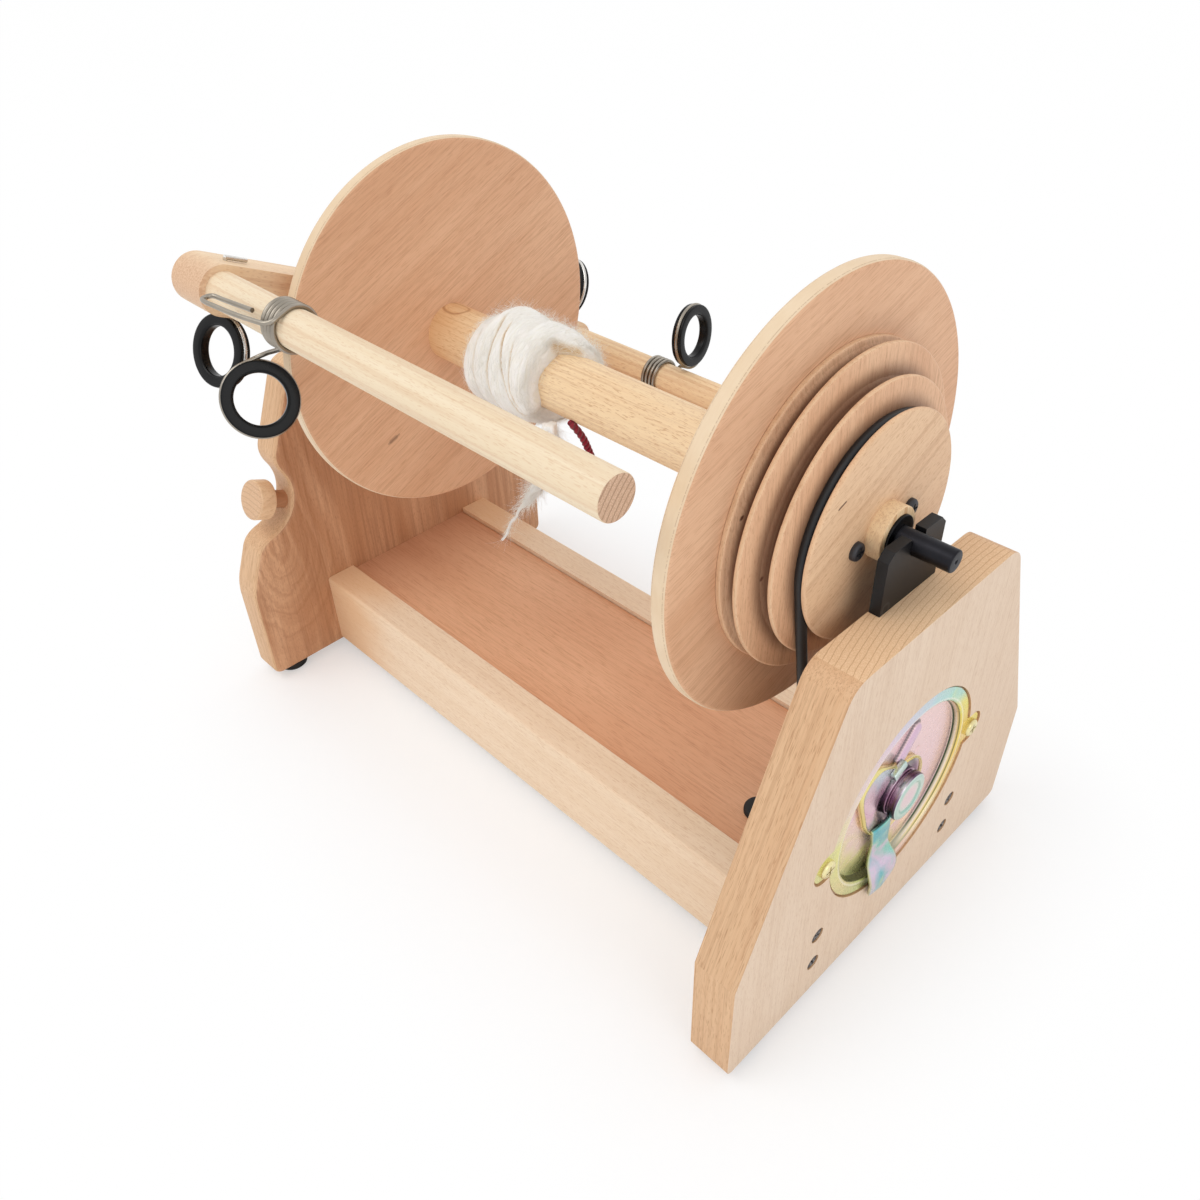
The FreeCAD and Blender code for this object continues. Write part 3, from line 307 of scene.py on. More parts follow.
# a grid of points, rows by columns, as quads; either way round may be closed, and bands gives each row's material.
# flow is three numbers for each point that a finish can read.
def gridMesh(name, grid, closeRows=False, closeColumns=True, bands=None, flow=None):
    rows, columns = grid.shape[:2]
    r = np.arange(rows if closeRows else rows - 1)
    c = np.arange(columns if closeColumns else columns - 1)
    rr, cc = np.meshgrid(r, c, indexing="ij")
    nextR, nextC = (rr + 1) % rows, (cc + 1) % columns
    corners = [rr * columns + cc, nextR * columns + cc, nextR * columns + nextC, rr * columns + nextC]
    quads = np.stack(corners, -1).reshape(-1, 4)
    mesh = bpy.data.meshes.new(name)
    mesh.vertices.add(rows * columns)
    mesh.vertices.foreach_set("co", grid.reshape(-1).astype(np.float32))
    mesh.loops.add(quads.size)
    mesh.loops.foreach_set("vertex_index", quads.reshape(-1).astype(np.int32))
    mesh.polygons.add(len(quads))
    mesh.polygons.foreach_set("loop_start", np.arange(0, quads.size, 4, dtype=np.int32))
    if bands is not None:
        mesh.polygons.foreach_set("material_index", np.asarray(bands, dtype=np.int32)[rr.reshape(-1)])
    if flow is not None:
        layer = mesh.attributes.new("flow", "FLOAT_VECTOR", "POINT")
        layer.data.foreach_set("vector", np.stack(np.broadcast_arrays(*flow), -1).reshape(-1).astype(np.float32))
    mesh.update(calc_edges=True)
    mesh.validate()
    return mesh


# merges doubles at seams and poles, turns the faces outward and smooths all but sharp edges
def closeUp(mesh, merge=1e-6, sharp=40.0):
    def mend(work):
        bmesh.ops.remove_doubles(work, verts=work.verts, dist=merge)
        bmesh.ops.dissolve_degenerate(work, edges=work.edges, dist=merge)
        bmesh.ops.recalc_face_normals(work, faces=work.faces)

    allSmooth(reworked(mesh, mend)).set_sharp_from_angle(angle=math.radians(sharp))
    return mesh


# rounds each corner of a flat profile with an arc between tangent points; rows are (x, r, fillet, band), where the
# last two may be left out, and a band is the material of the strip that starts at its row
def softened(profile, closed=True, steps=4):
    points, bands = [], []
    count = len(profile)
    profile = [(*row, 0, 0)[:4] for row in profile]
    for i, (x, r, fillet, band) in enumerate(profile):
        here = np.array([x, r])
        before = np.array(profile[i - 1][:2]) - here
        after = np.array(profile[(i + 1) % count][:2]) - here
        la, lb = np.linalg.norm(before), np.linalg.norm(after)
        bend = math.acos(max(-1.0, min(1.0, float(before @ after) / max(la * lb, 1e-12)))) / 2
        if fillet <= 0 or bend > math.radians(88) or (not closed and i in (0, count - 1)):
            points.append(here)
            bands.append(band)
            continue
        before, after = before / la, after / lb
        cut = min(fillet / math.tan(bend), 0.45 * la, 0.45 * lb)
        size = cut * math.tan(bend)
        middle = here + (before + after) / np.linalg.norm(before + after) * (size / math.sin(bend))
        first, last = here + before * cut, here + after * cut
        start = math.atan2(*(first - middle)[::-1])
        sweep = (math.atan2(*(last - middle)[::-1]) - start + math.pi) % whole - math.pi
        for k in range(steps + 1):
            angle = start + sweep * k / steps
            points.append(middle + size * np.array([math.cos(angle), math.sin(angle)]))
            bands.append(band if k >= steps / 2 else profile[i - 1][3])
    return np.array(points), bands


def around(count):
    return np.linspace(0, whole, count, endpoint=False)


# a turned piece: each profile point (x, r) goes round the axis as (x, r cos a, r sin a), and the axis may be
# moved to a centre or pointed along a direction
def turned(name, profile, node, materials, sides=128, centre=(0.0, 0.0, axisHeight), direction=(1, 0, 0), closed=True,
           steps=4):
    points, bands = softened(profile, closed, steps)
    turn = around(sides)
    ring = [np.repeat(points[:, :1], sides, 1), points[:, 1:] * np.cos(turn), points[:, 1:] * np.sin(turn)]
    spin = np.array(Vector((1, 0, 0)).rotation_difference(Vector(direction)).to_matrix())
    grid = np.stack(ring, -1) @ spin.T + np.array(centre)
    return settle(name, closeUp(gridMesh(name, grid, closed, bands=bands)), materials, node)


# a round section carried along a route: each ring is route + radius (cos a n + sin a b), where n is kept from
# twisting by laying the last n flat on each new ring and b = heading x n; shape(a, share) scales the radius
def carried(route, radius, sides, shape):
    heading = np.gradient(route, axis=0)
    heading /= np.linalg.norm(heading, axis=1, keepdims=True)
    side = np.cross(heading[0], [0.0, 0.0, 1.0])
    if np.linalg.norm(side) < 0.2:
        side = np.cross(heading[0], [0.0, 1.0, 0.0])
    first = np.empty_like(route)
    for i, way in enumerate(heading):
        side = side - way * (side @ way)
        side /= np.linalg.norm(side)
        first[i] = side
    second = np.cross(heading, first)
    turn = around(sides)[None, :, None]
    size = np.broadcast_to(np.asarray(radius, dtype=float).reshape(-1, 1, 1), (len(route), 1, 1))
    size = size * shape(turn, np.linspace(0, 1, len(route))[:, None, None])
    grid = route[:, None, :] + size * (np.cos(turn) * first[:, None, :] + np.sin(turn) * second[:, None, :])
    ends = [np.repeat(route[i:i + 1, None, :], sides, 1) for i in (0, len(route) - 1)]
    return np.concatenate([ends[0], grid, ends[1]])


# a copy of a node's mesh, merged, its faces given a band by band(normal, middle), its edges softened by a bevel
def copied(name, node, materials, bevel, angle=35.0, segments=3, band=None):
    def merge(work):
        bmesh.ops.remove_doubles(work, verts=work.verts, dist=2e-6)
        bmesh.ops.dissolve_limit(work, angle_limit=math.radians(0.5), verts=work.verts, edges=work.edges)
        for face in work.faces:
            face.material_index = band(face.normal, face.calc_center_median()) if band else 0

    mesh = nodes[node].data.copy()
    mesh.materials.clear()
    allSmooth(reworked(mesh, merge)).set_sharp_from_angle(angle=math.radians(angle))
    return modified(settle(name, mesh, materials, node), "soften", "BEVEL", width=bevel, segments=segments,
                    limit_method="ANGLE", angle_limit=math.radians(angle), harden_normals=True)


# a smooth line through a route's points, as its NURBS spline gives it
def splinePoints(name, points, resolution):
    curve = bpy.data.curves.new(name, "CURVE")
    curve.dimensions = "3D"
    spline = curve.splines.new("NURBS")
    spline.points.add(len(points) - 1)
    for point, place in zip(spline.points, points):
        point.co = (*place, 1.0)
    spline.order_u, spline.use_endpoint_u, spline.resolution_u = 3, True, resolution
    probe = bpy.data.objects.new(name, curve)
    line = bpy.data.meshes.new_from_object(probe)
    found = np.array([v.co[:] for v in line.vertices])
    bpy.data.objects.remove(probe)
    bpy.data.meshes.remove(line)
    return found


# wood with its grain along local X: rings as wavering shells round a far pith, streaks, fibres, short pores and marks.
# colours are (light, dark, streak); rings are (count, share); streaks (share, long, fine); pores (share, long, wide,
# edge); cloud (share, size); each mark is a dark line as (from, to, width, strength)
woodValues = {"turn": (0, 0, 0), "mirrored": False, "pith": (0.0, 0.09, 0.16), "rings": (240.0, 0.35), "sway": 0.010,
              "streaks": (0.3, 11.0, 420.0), "pores": (0.35, 380.0, 2700.0, 0.62), "cloud": (0.3, 22.0), "rough": 0.5,
              "bump": 0.06, "coat": 0.10, "marks": [], "markColour": (96, 62, 44), "tintAndShade": None, "figures": [],
              "cathedral": None, "slots": None, "corners": [], "ends": None}


def woodFinish(name, values):
    v = {**woodValues, **values}
    light, dark, tint = v["colours"]
    finish = Finish(name, Coat_Roughness=0.4, Coat_Weight=v["coat"], Specular_IOR_Level=0.32)
    still = finish.place()
    where = finish.place(v["turn"], v["mirrored"])
    sway = finish.noise(finish.stretch(where, (4.0, 16.0, 16.0)), 1.0, 2.0) - 0.5
    x, y, z = finish.split(where)
    dy, dz = y - v["pith"][1] + sway * v["sway"], z - v["pith"][2] + sway * v["sway"] * 0.8
    reach = (dy * dy + dz * dz) ** 0.5
    count, ringShare = v["rings"]
    ring = finish.noise(finish.join(reach * count, x * 3.0, 0.0), 1.0, 2.0, 0.6)
    streakShare, long, fine = v["streaks"]
    streak = finish.noise(finish.stretch(where, (long, fine, fine)), 1.0, 3.0, 0.55, 0.2)
    fibre = finish.noise(finish.stretch(where, (60.0, 1900.0, 1900.0)), 1.0, 2.0)
    cloudShare, size = v["cloud"]
    cloud = finish.noise(finish.stretch(where, (size * 0.4, size, size)), 1.0, 2.0)
    depth = ring.above(0.5, 0.2) * ringShare + cloud.above(0.5, 0.22) * cloudShare + (fibre - 0.5) * 0.5
    colour = finish.mix(depth.most(0.0).least(1.0), light, dark)
    colour = finish.mix(streak.above(0.57, 0.13) * streakShare, colour, tint)
    poreShare, long, wide, edge = v["pores"]
    pores = finish.noise(finish.stretch(where, (long, wide, wide)), 1.0, 1.0).above(edge, 0.05)
    colour = finish.mix(pores * poreShare, colour, tint)
    for start, end, width, strength in v["marks"]:
        ragged = finish.toLine(still, start, end) + (fibre - 0.5) * width * 0.8
        colour = finish.mix(ragged.below(width, width * 0.5) * strength, colour, v["markColour"])
    drift = finish.noise(finish.stretch(still, (20.0, 90.0, 90.0)), 1.0, 2.0) - 0.5
    along, side, height = finish.split(still)
    # on the base this tint is painted shade from the orifice board
    if v["tintAndShade"]:  # a tint up to a place along X
        tint, edge, soft, share = v["tintAndShade"]
        colour = finish.mix((along + drift * 0.03).below(edge, soft) * share, colour, tint)
    for centre, radius, width, tint, share in v["figures"]:  # an oval line round a knot
        squeeze, short = 0.75, 0.0008
        ends = [(centre[0] * squeeze + way * short, *centre[1:]) for way in (-1, 1)]
        away = finish.toLine(finish.stretch(still, (squeeze, 1.0, 1.0)), *ends)
        colour = finish.mix((away + drift * 0.0016 - radius).size().below(width, width) * share, colour, tint)
    if v["cathedral"]:  # growth lines that close in an arc below one height: |(y, k min(x, 0))|, broken by a wobble
        top, middle, squeeze, size, tint, share = v["cathedral"]
        wobble = finish.noise(where, 70.0, 3.0, 0.6) - 0.5
        low, aside = (x - top + wobble * 0.020).least(0.0) * squeeze, y - middle + wobble * 0.007
        bow = (low * low + aside * aside) ** 0.5
        line = finish.noise(finish.join(bow * 400.0, 0.0, 0.0), 1.0, 1.5).above(0.52, 0.20)
        colour = finish.mix(line * bow.below(size, size * 0.5) * share, colour, tint)
    # painted shade: the far part of each groove is darkened in colour
    if v["slots"]:  # the far part of each groove along X lies in its own dark
        first, pitch, width, edge, soft, tint = v["slots"]
        share = finish.node("ShaderNodeMath", {"operation": "FRACT"}, {0: (along - first) / pitch}) * (pitch / width)
        colour = finish.mix(share.above(edge, soft) * share.below(1.06, 0.05) * 0.85, colour, tint)
        out = (side * side + (height - axisHeight) ** 2.0) ** 0.5
        # painted shade on the face of a flange just above the next rim
        for start, end, rim, reach in v["corners"]:  # and so does the face of a flange just above the next one
            near = along.above(start, 0.0002) * along.below(end, 0.0002) * (out - rim).below(reach * 0.4, reach)
            colour = finish.mix(near * 0.62, colour, tint)
    if v["ends"]:  # long grain that turns into end grain on rounded ends
        middle, at, soft, light, dark = v["ends"]
        dots = finish.noise(finish.stretch(where, (500.0, 1500.0, 1500.0)), 1.0, 2.0)
        colour = finish.mix((x - middle).size().above(at, soft), colour, finish.mix(dots.above(0.5, 0.2), light, dark))
    finish.feed(Base_Color=colour, Roughness=v["rough"] + streak * 0.08 + pores * 0.12)
    finish.bump(fibre * 0.35 + streak * 0.3 - pores * 0.6, v["bump"], 0.0003)
    return finish.material


# the cut end of a dowel or board: dark growth lines as arcs round a pith given in local Y and Z, with pores as dots.
# colours are (light, dark, line) and rings (count, share, edge)
def endGrain(name, colours, pith, rings, turn=(0, 0, 0)):
    light, dark, tint = colours
    count, share, edge = rings
    finish = Finish(name, Specular_IOR_Level=0.25)
    where = finish.place(turn)
    _, y, z = finish.split(where)
    sway = finish.noise(where, 130.0, 2.0) - 0.5
    dy, dz = y - pith[0], z - pith[1]
    arcs = ((dy * dy + dz * dz) ** 0.5 * count * whole + sway * 3.0).wave()
    dots = finish.noise(finish.stretch(where, (300.0, 2600.0, 2600.0)), 1.0, 2.0)
    colour = finish.mix(dots.above(0.48, 0.2), light, dark)
    finish.feed(Base_Color=finish.mix(arcs.above(edge, 0.96 - edge) * share, colour, tint), Roughness=0.62 + dots * 0.1)
    finish.bump(dots - arcs * 0.2, 0.10, 0.0003)
    return finish.material


def plasticFinish(name, colour, rough, grain=0.12, spec=0.4, scale=900.0, lift=9, outline=None):
    finish = Finish(name, Specular_IOR_Level=spec)
    where = finish.place()
    fine = finish.noise(where, scale, 2.0)
    wide = finish.noise(where, 60.0, 2.0)
    base = finish.mix(wide.above(0.5, 0.3) * 0.6, colour, [c + lift for c in colour])
    height = fine
    if outline:  # a moulded line round a slot: (from, to, radius, width)
        start, end, radius, width = outline
        edge = (finish.toLine(where, start, end) - radius).size().below(width, width * 0.5)
        base = finish.mix(edge * 0.6, base, [c + 34 for c in colour])
        height = fine * 0.1 + edge
    finish.feed(Base_Color=base, Roughness=rough + (wide - 0.5) * 0.12)
    finish.bump(height, grain, 0.0002)
    return finish.material


def metalFinish(name, colour, shade, rough, share=0.25, metallic=1.0):
    finish = Finish(name, Metallic=metallic)
    where = finish.place()
    fine = finish.noise(where, 700.0, 3.0)
    base = finish.mix(finish.noise(where, 90.0, 2.0).above(0.52, 0.2) * share, colour, shade)
    finish.feed(Base_Color=base, Roughness=rough + fine * 0.14)
    finish.bump(fine, 0.04, 0.0002)
    return finish.material


# yellow-chromated steel: a thin film whose thickness drifts and follows the distance from the motor's axis
def yellowFinish(stops):
    finish = Finish("yellowScrew", Metallic=0.85)
    where = finish.place()
    _, y, z = finish.split(where)
    out = ((y * y + (z - motorHeight) * (z - motorHeight)) ** 0.5) / 0.045
    drift = finish.noise(where, 38.0, 1.0, 0.5, 1.2)
    small = finish.noise(where, 150.0, 2.0)
    fine = finish.noise(where, 900.0, 3.0)
    film = drift * 0.9 + out * 0.16 + (small - 0.5) * 0.10
    finish.feed(Base_Color=finish.ramp(stops, film), Roughness=0.22 + fine * 0.12)
    finish.bump(fine, 0.03, 0.0002)
    return finish.material


cradleSlot = ((0.1535, -0.0135, 0.171), (0.1535, -0.0135, 0.160), 0.0022, 0.0004)
yellowStops = [(0.30, (222, 206, 140)), (0.50, (240, 230, 176)), (0.65, (208, 188, 134)), (0.78, (222, 182, 160))]
materials = {
    "black": plasticFinish("blackPlastic", (20, 20, 22), 0.42, spec=0.25, outline=cradleSlot),
    "ring": plasticFinish("ringPlastic", (5, 6, 8), 0.28, spec=0.20, lift=4),
    "rubber": plasticFinish("rubber", (24, 24, 25), 0.7, 0.2),
    "belt": plasticFinish("beltRubber", (26, 27, 29), 0.5, 0.25, 0.45, 1500.0),
    "shaft": metalFinish("blackenedShaft", (44, 44, 48), (26, 26, 29), 0.34),
    "screw": metalFinish("blackScrew", (62, 62, 66), (30, 30, 32), 0.4, metallic=0.5),
    "yellow": yellowFinish(yellowStops),
    "case": metalFinish("motorCase", (150, 152, 156), (120, 120, 124), 0.4),
    "silver": metalFinish("silverWire", (214, 212, 208), (150, 148, 144), 0.2),
    "wire": metalFinish("springWire", (166, 158, 146), (98, 92, 84), 0.24),
}
nodeFinish = {"rubber": ("base_grommet", "rubber_feet"), "screw": ("frame_screws", "cradle_screws", "pulley_screws"),
              "yellow": ("motor_screws",), "shaft": ("motor_shaft",), "ring": ("motor_pulley",),
              "belt": ("drive_belt",),
              "silver": ("near_ring_pin", "far_ring_pin"), "wire": ("near_hook_wire", "far_hook_wire")}
for key, names in nodeFinish.items():
    for name in names:
        data = nodes[name].data
        data.materials.clear()
        data.materials.append(materials[key])
print("stage: finishes on the frame's own nodes")


# 0 below 0, 1 above 1, with an even slope at both ends
def eased(share):
    share = np.clip(share, 0, 1)
    return share * share * (3 - 2 * share)


# a bell round a place, e^-(d / wide)^power
def bell(offset, wide, power=2):
    return np.exp(-(offset / wide) ** power)


def unit(vectors):
    return vectors / np.linalg.norm(vectors, axis=-1, keepdims=True)


leaderValues = {"route": [(0.00400, -0.01098, 0.18081), (0.00400, -0.00531, 0.17320), (0.00508, -0.00247, 0.16419),
                          (0.00725, -0.00057, 0.15514), (0.01045, 0.00036, 0.14625)],
                "radius": 0.0016, "length": 0.0379, "twist": 7.0, "dip": 0.20,
                "light": (158, 34, 56), "dark": (104, 16, 34)}


# two plies laid round each other: the radius is r (1 - dip |sin(a - twist s)|^3), deepest where the plies meet
def makeLeader(values):
    line = splinePoints("leaderRoute", values["route"], 24)

    def seamAt(turn, share):
        return np.abs(np.sin(turn - values["twist"] * whole * share))

    grid = carried(line, values["radius"], 24, lambda turn, share: 1.0 - values["dip"] * seamAt(turn, share) ** 3)
    share = np.linspace(0, 1, len(grid))[:, None]
    flow = (share * values["length"], seamAt(around(grid.shape[1])[None, :], share), 0.0)
    mesh = closeUp(gridMesh("leaderYarn", grid, flow=flow), 1e-7)
    yarn = Finish("leaderYarn", Roughness=0.9, Sheen_Weight=0.4, Specular_IOR_Level=0.15)
    _, seam, _ = yarn.flow()
    fuzz = yarn.noise(yarn.stretch(yarn.place(), (1800.0, 1800.0, 900.0)), 1.0, 3.0)
    shade = (fuzz * 0.9 + seam.above(0.8, 0.2) * 0.6).least(1.0)
    yarn.feed(Base_Color=yarn.mix(shade, values["light"], values["dark"]))
    yarn.bump(fuzz, 0.5, 0.0003)
    piece = settle("red_leader_yarn", mesh, [yarn.material], "red_leader")


# each crease is (middle, angle, slope, from, to, depth), with angles in degrees
# crease is the colour of the painted shade in the creases and under the lobe's edge
woolValues = {"core": 0.0125, "press": 0.0002, "left": -0.0548, "right": -0.0122, "lobeOut": 0.0100, "full": 0.0084,
              "bump": 0.0016, "strand": 0.00016, "slant": 0.0000235, "light": (255, 253, 248), "dark": (240, 235, 222),
              "crease": (216, 188, 146), "hairs": 5200, "hairRadius": 0.00005,
              "creases": [(-0.0372, 133, 0.000075, 92, 238, 0.0011), (-0.0268, 159, 0.000170, 96, 226, 0.0013),
                          (-0.0232, 152, 0.000130, 118, 205, 0.0008), (-0.0445, 160, 0.000050, 120, 215, 0.0006)]}


# flow holds the place along the wraps' slant, the turn and how deep a crease lies
def woolFinish(name, values):
    wool = Finish(name, Roughness=0.95, Sheen_Weight=0.35, Specular_IOR_Level=0.1, Subsurface_Weight=0.5,
                  Subsurface_Radius=(1.0, 0.96, 0.88), Subsurface_Scale=0.004)
    along, turn, lift = wool.flow()
    strands = wool.noise(wool.join(along * 1500.0, turn * 9.0, 0.0), 1.0, 3.0, 0.6, 0.5)
    fuzz = wool.noise(wool.place(), 1300.0, 3.0)
    shade = (strands.below(0.44, 0.16) * 0.6 + fuzz * 0.2).least(1.0)
    colour = wool.mix(shade, values["light"], values["dark"])
    # the crease colour is painted shade in the creases between wraps and under the lobe's edge
    wool.feed(Base_Color=wool.mix((lift * 1.1).least(1.0), colour, values["crease"]))
    wool.bump(strands * 0.8 + fuzz * 0.35, 0.55, 0.0007)
    return wool.material


# how far the wool stands off the axis at x and angle: it rises from the core in a quarter round at each end, more
# gently on top of the left end and on the lobe that reaches along the back, and is cut by slanting creases
def woolReach(values, x, angle):
    turn = np.degrees(angle) % 360
    topSide = bell(turn - 62, 48)
    back = eased((100 - turn) / 34) * eased((turn + 8) / 30) + eased((turn - 352) / 8) * 0.2
    left = values["left"] - 0.0010 * np.cos(angle) + 0.0006 * np.sin(angle * 3 + 1)
    right = values["right"] + values["lobeOut"] * back + 0.0008 * np.sin(angle * 4) - 0.004 * bell(turn - 232, 26)
    rise = np.clip((x - left) / (0.0070 + 0.0120 * topSide), 0, 1)
    fall = np.clip((right - x) / (0.0062 + 0.0150 * back), 0, 1)
    shoulder = np.sqrt(1 - (1 - rise) ** 2) * (1 - 0.30 * topSide * (1 - eased((x + 0.050) / 0.008)))
    height = values["full"] * shoulder * np.sqrt(1 - (1 - fall) ** 2)
    height = height + values["bump"] * np.exp(-((x + 0.0415) / 0.0042) ** 2 - ((turn - 66) / 30) ** 2)
    wraps = np.sin((x - values["slant"] * turn) * whole / 0.0096)
    uneven = 0.035 * np.sin(x * 310 + 2 * np.sin(angle)) + 0.02 * np.sin(x * 700 + angle * 3)
    height = height * (1 + 0.030 * wraps + uneven)
    cut = np.zeros_like(x)
    for middle, at, slope, start, end, depth in values["creases"]:
        line = middle + slope * (turn - at) + 0.0006 * np.sin(turn * 0.07 + middle * 900)
        open_ = eased((turn - start) / 18) * eased((end - turn) / 18)
        cut = np.maximum(cut, open_ * bell(x - line, 0.00042) * depth / 0.0012)
    # the fold under the lobe's edge is a slight dent with painted shade in the crease colour
    fold = eased((turn - 66) / 10) * eased((112 - turn) / 14)
    cut = np.maximum(cut, fold * 0.9 * bell(right - x - 0.0009, 0.0011))
    return height, cut, left, right


# the wound roving as one soft mass over the core, its surface combed by fine waves that follow the wraps
def makeWool(values):
    share = (1 - np.cos(np.linspace(0, math.pi, 210))) / 2
    ss, aa = np.meshgrid(share, around(288), indexing="ij")
    left, right = woolReach(values, np.zeros_like(aa), aa)[2:]
    x = left + (right - left) * ss
    height, cut, _, _ = woolReach(values, x, aa)
    slant = x - values["slant"] * (np.degrees(aa) % 360)
    combed = np.sin(slant * 5200 + 2.2 * np.sin(aa * 2)) * 0.6 + np.sin(slant * 9100 + 3 * np.sin(aa * 3)) * 0.4
    height = height + values["strand"] * combed * np.clip(height / 0.004, 0, 1) - cut * 0.0011
    reach = values["core"] - values["press"] + np.maximum(height, 0)
    grid = np.stack([x, reach * np.cos(aa), axisHeight + reach * np.sin(aa)], -1)
    mesh = closeUp(gridMesh("woundWool", grid, flow=(slant, aa / whole, cut)), 1e-7, 80)
    settle("wound_wool", mesh, [woolFinish("woundWool", values)], "wool_winding")


# loose hairs: each is an arc that starts on the wool and lifts off by height s^2, as a three-sided taper
def hairMesh(name, roots, ways, lifts, lengths, curls, radius, steps=7, sides=3):
    share = np.linspace(0, 1, steps)[None, :, None]
    side = np.cross(ways, lifts)
    line = roots[:, None, :] + ways[:, None, :] * lengths[:, None, None] * share
    line = line + lifts[:, None, :] * (curls[:, :1, None] * share ** 2)
    line = line + side[:, None, :] * (curls[:, 1:, None] * np.sin(share * 3.0))
    turn = around(sides)[None, None, :, None]
    size = radius * (1.0 - 0.75 * share[..., None])
    section = np.cos(turn) * lifts[:, None, None, :] + np.sin(turn) * side[:, None, None, :]
    grids = line[:, :, None, :] + size * section
    base = np.arange(len(grids))[:, None, None] * steps * sides
    r, c = np.meshgrid(np.arange(steps - 1), np.arange(sides), indexing="ij")
    nextC = (c + 1) % sides
    quads = np.stack([r * sides + c, r * sides + nextC, (r + 1) * sides + nextC, (r + 1) * sides + c], -1)
    quads = (quads.reshape(1, -1, 4) + base).reshape(-1, 4)
    caps = np.concatenate([np.array([[2, 1, 0]]), (steps - 1) * sides + np.array([[0, 1, 2]])])
    caps = (caps[None] + base).reshape(-1, 3)
    mesh = bpy.data.meshes.new(name)
    mesh.from_pydata(grids.reshape(-1, 3).tolist(), [], quads.tolist() + caps.tolist())
    return allSmooth(mesh)


def hairFinish(name):
    hair = Finish(name, Roughness=0.9, Sheen_Weight=0.3, Specular_IOR_Level=0.1)
    hair.feed(Base_Color=hair.mix(hair.noise(hair.place(), 200.0), (255, 254, 250), (244, 240, 230)))
    return hair.material


def makeWoolHairs(values):
    count = values["hairs"]
    none = np.zeros(count)
    angle = rng.uniform(0, whole, count)
    _, _, left, right = woolReach(values, none, angle)
    edge = rng.random(count) < 0.3
    share = np.where(edge, rng.uniform(0.93, 1.0, count), rng.uniform(0.01, 1.0, count))
    x = left + (right - left) * share
    reach = values["core"] + woolReach(values, x, angle)[0] - values["press"]
    radial = np.stack([none, np.cos(angle), np.sin(angle)], -1)
    outward = unit(radial + np.stack([(share - 0.5) * 1.4 * (np.abs(share - 0.5) > 0.38), none, none], -1))
    along = np.stack([none, -np.sin(angle), np.cos(angle)], -1)
    roots = np.stack([x, reach * np.cos(angle), axisHeight + reach * np.sin(angle)], -1)
    ways = along * rng.choice([-1.0, 1.0], count)[:, None] + np.cross(along, outward) * rng.normal(0, 0.45, (count, 1))
    top = bell(np.degrees(angle) - 62, 50)
    lengths = rng.uniform(0.003, 0.009, count)
    lift = rng.uniform(0.0, 0.0012, count) + top * rng.uniform(0, 0.0046, count)
    curls = np.stack([lift, rng.normal(0, 0.0014, count)], -1)
    mesh = hairMesh("woolHairs", roots, unit(ways), outward, lengths, curls, values["hairRadius"])
    settle("wool_hairs", mesh, [hairFinish("woolHair")], body="bobbin")


# sizes are (share of the length, radius)
tailValues = {"route": [(-0.00210, -0.01670, 0.18024), (-0.00091, -0.01670, 0.16729), (-0.00291, -0.02194, 0.15556),
                        (-0.00960, -0.02640, 0.14420), (-0.01660, -0.02920, 0.13320), (-0.02180, -0.03060, 0.12260)],
              "sizes": [(0.0, 0.0031), (0.10, 0.0036), (0.28, 0.0032), (0.44, 0.0022), (0.53, 0.0025), (0.62, 0.0013),
                        (0.72, 0.00062), (1.0, 0.00062)],
              "length": 0.0647, "diameter": 0.0036, "sides": 22, "thin": 0.8, "loose": 0.0011, "hairs": 2400}


# the hanging end: a soft strand that thins from root to tip, frayed by waves round it, with hairs all through it
def makeWoolTail(values, look):
    line = splinePoints("tailRoute", values["route"], 30)
    share = np.linspace(0, 1, len(line))
    uneven = (0.12 * np.sin(share * 31) + 0.08 * np.sin(share * 57 + 1)) * (share < 0.65)
    size = np.interp(share, *zip(*values["sizes"])) * (1 + uneven)
    loose = share ** 3 * values["loose"]
    line = line + np.stack([loose * np.sin(share * 34), loose * np.sin(share * 22 + 1), 0 * share], -1)

    def fray(turn, along):
        return 1 + 0.22 * np.sin(turn * 3 + along * 19) + 0.14 * np.sin(turn * 5 - along * 47)

    sides = values["sides"]
    grid = carried(line, size * values["thin"], sides, fray)
    along = np.linspace(0, values["length"], len(grid))[:, None]
    flow = (np.linspace(0, 0.02, sides)[None, :], along * 10, 0.0)
    mesh = closeUp(gridMesh("tailRoving", grid, flow=flow), 1e-7, 80)
    piece = settle("wool_tail_roving", mesh, [woolFinish("tailRoving", look)], "wool_tail")
    count = values["hairs"]
    heavy = np.cumsum(size[:-2] ** 1.6)
    at = np.searchsorted(heavy / heavy[-1], rng.random(count) * 0.999)
    way = unit(line[at + 1] - line[at])
    side = unit(np.cross(way, rng.normal(size=(count, 3))))
    roots = line[at] + side * size[at, None] * rng.uniform(0.3, 1.1, (count, 1))
    way = unit(way + rng.normal(0, 0.42, (count, 3)))
    side = unit(side - way * np.sum(side * way, 1, keepdims=True))
    curls = np.stack([rng.uniform(-0.0008, 0.0012, count), rng.normal(0, 0.0008, count)], -1)
    hairs = hairMesh("tailHairs", roots, way, side, rng.uniform(0.004, 0.010, count), curls, look["hairRadius"])
    fluff = settle("wool_tail_hairs", hairs, [hairFinish("tailHair")], body="bobbin")


makeLeader(leaderValues)
makeWoolTail(tailValues, woolValues)
makeWool(woolValues)
makeWoolHairs(woolValues)
print("stage: wool and leader")


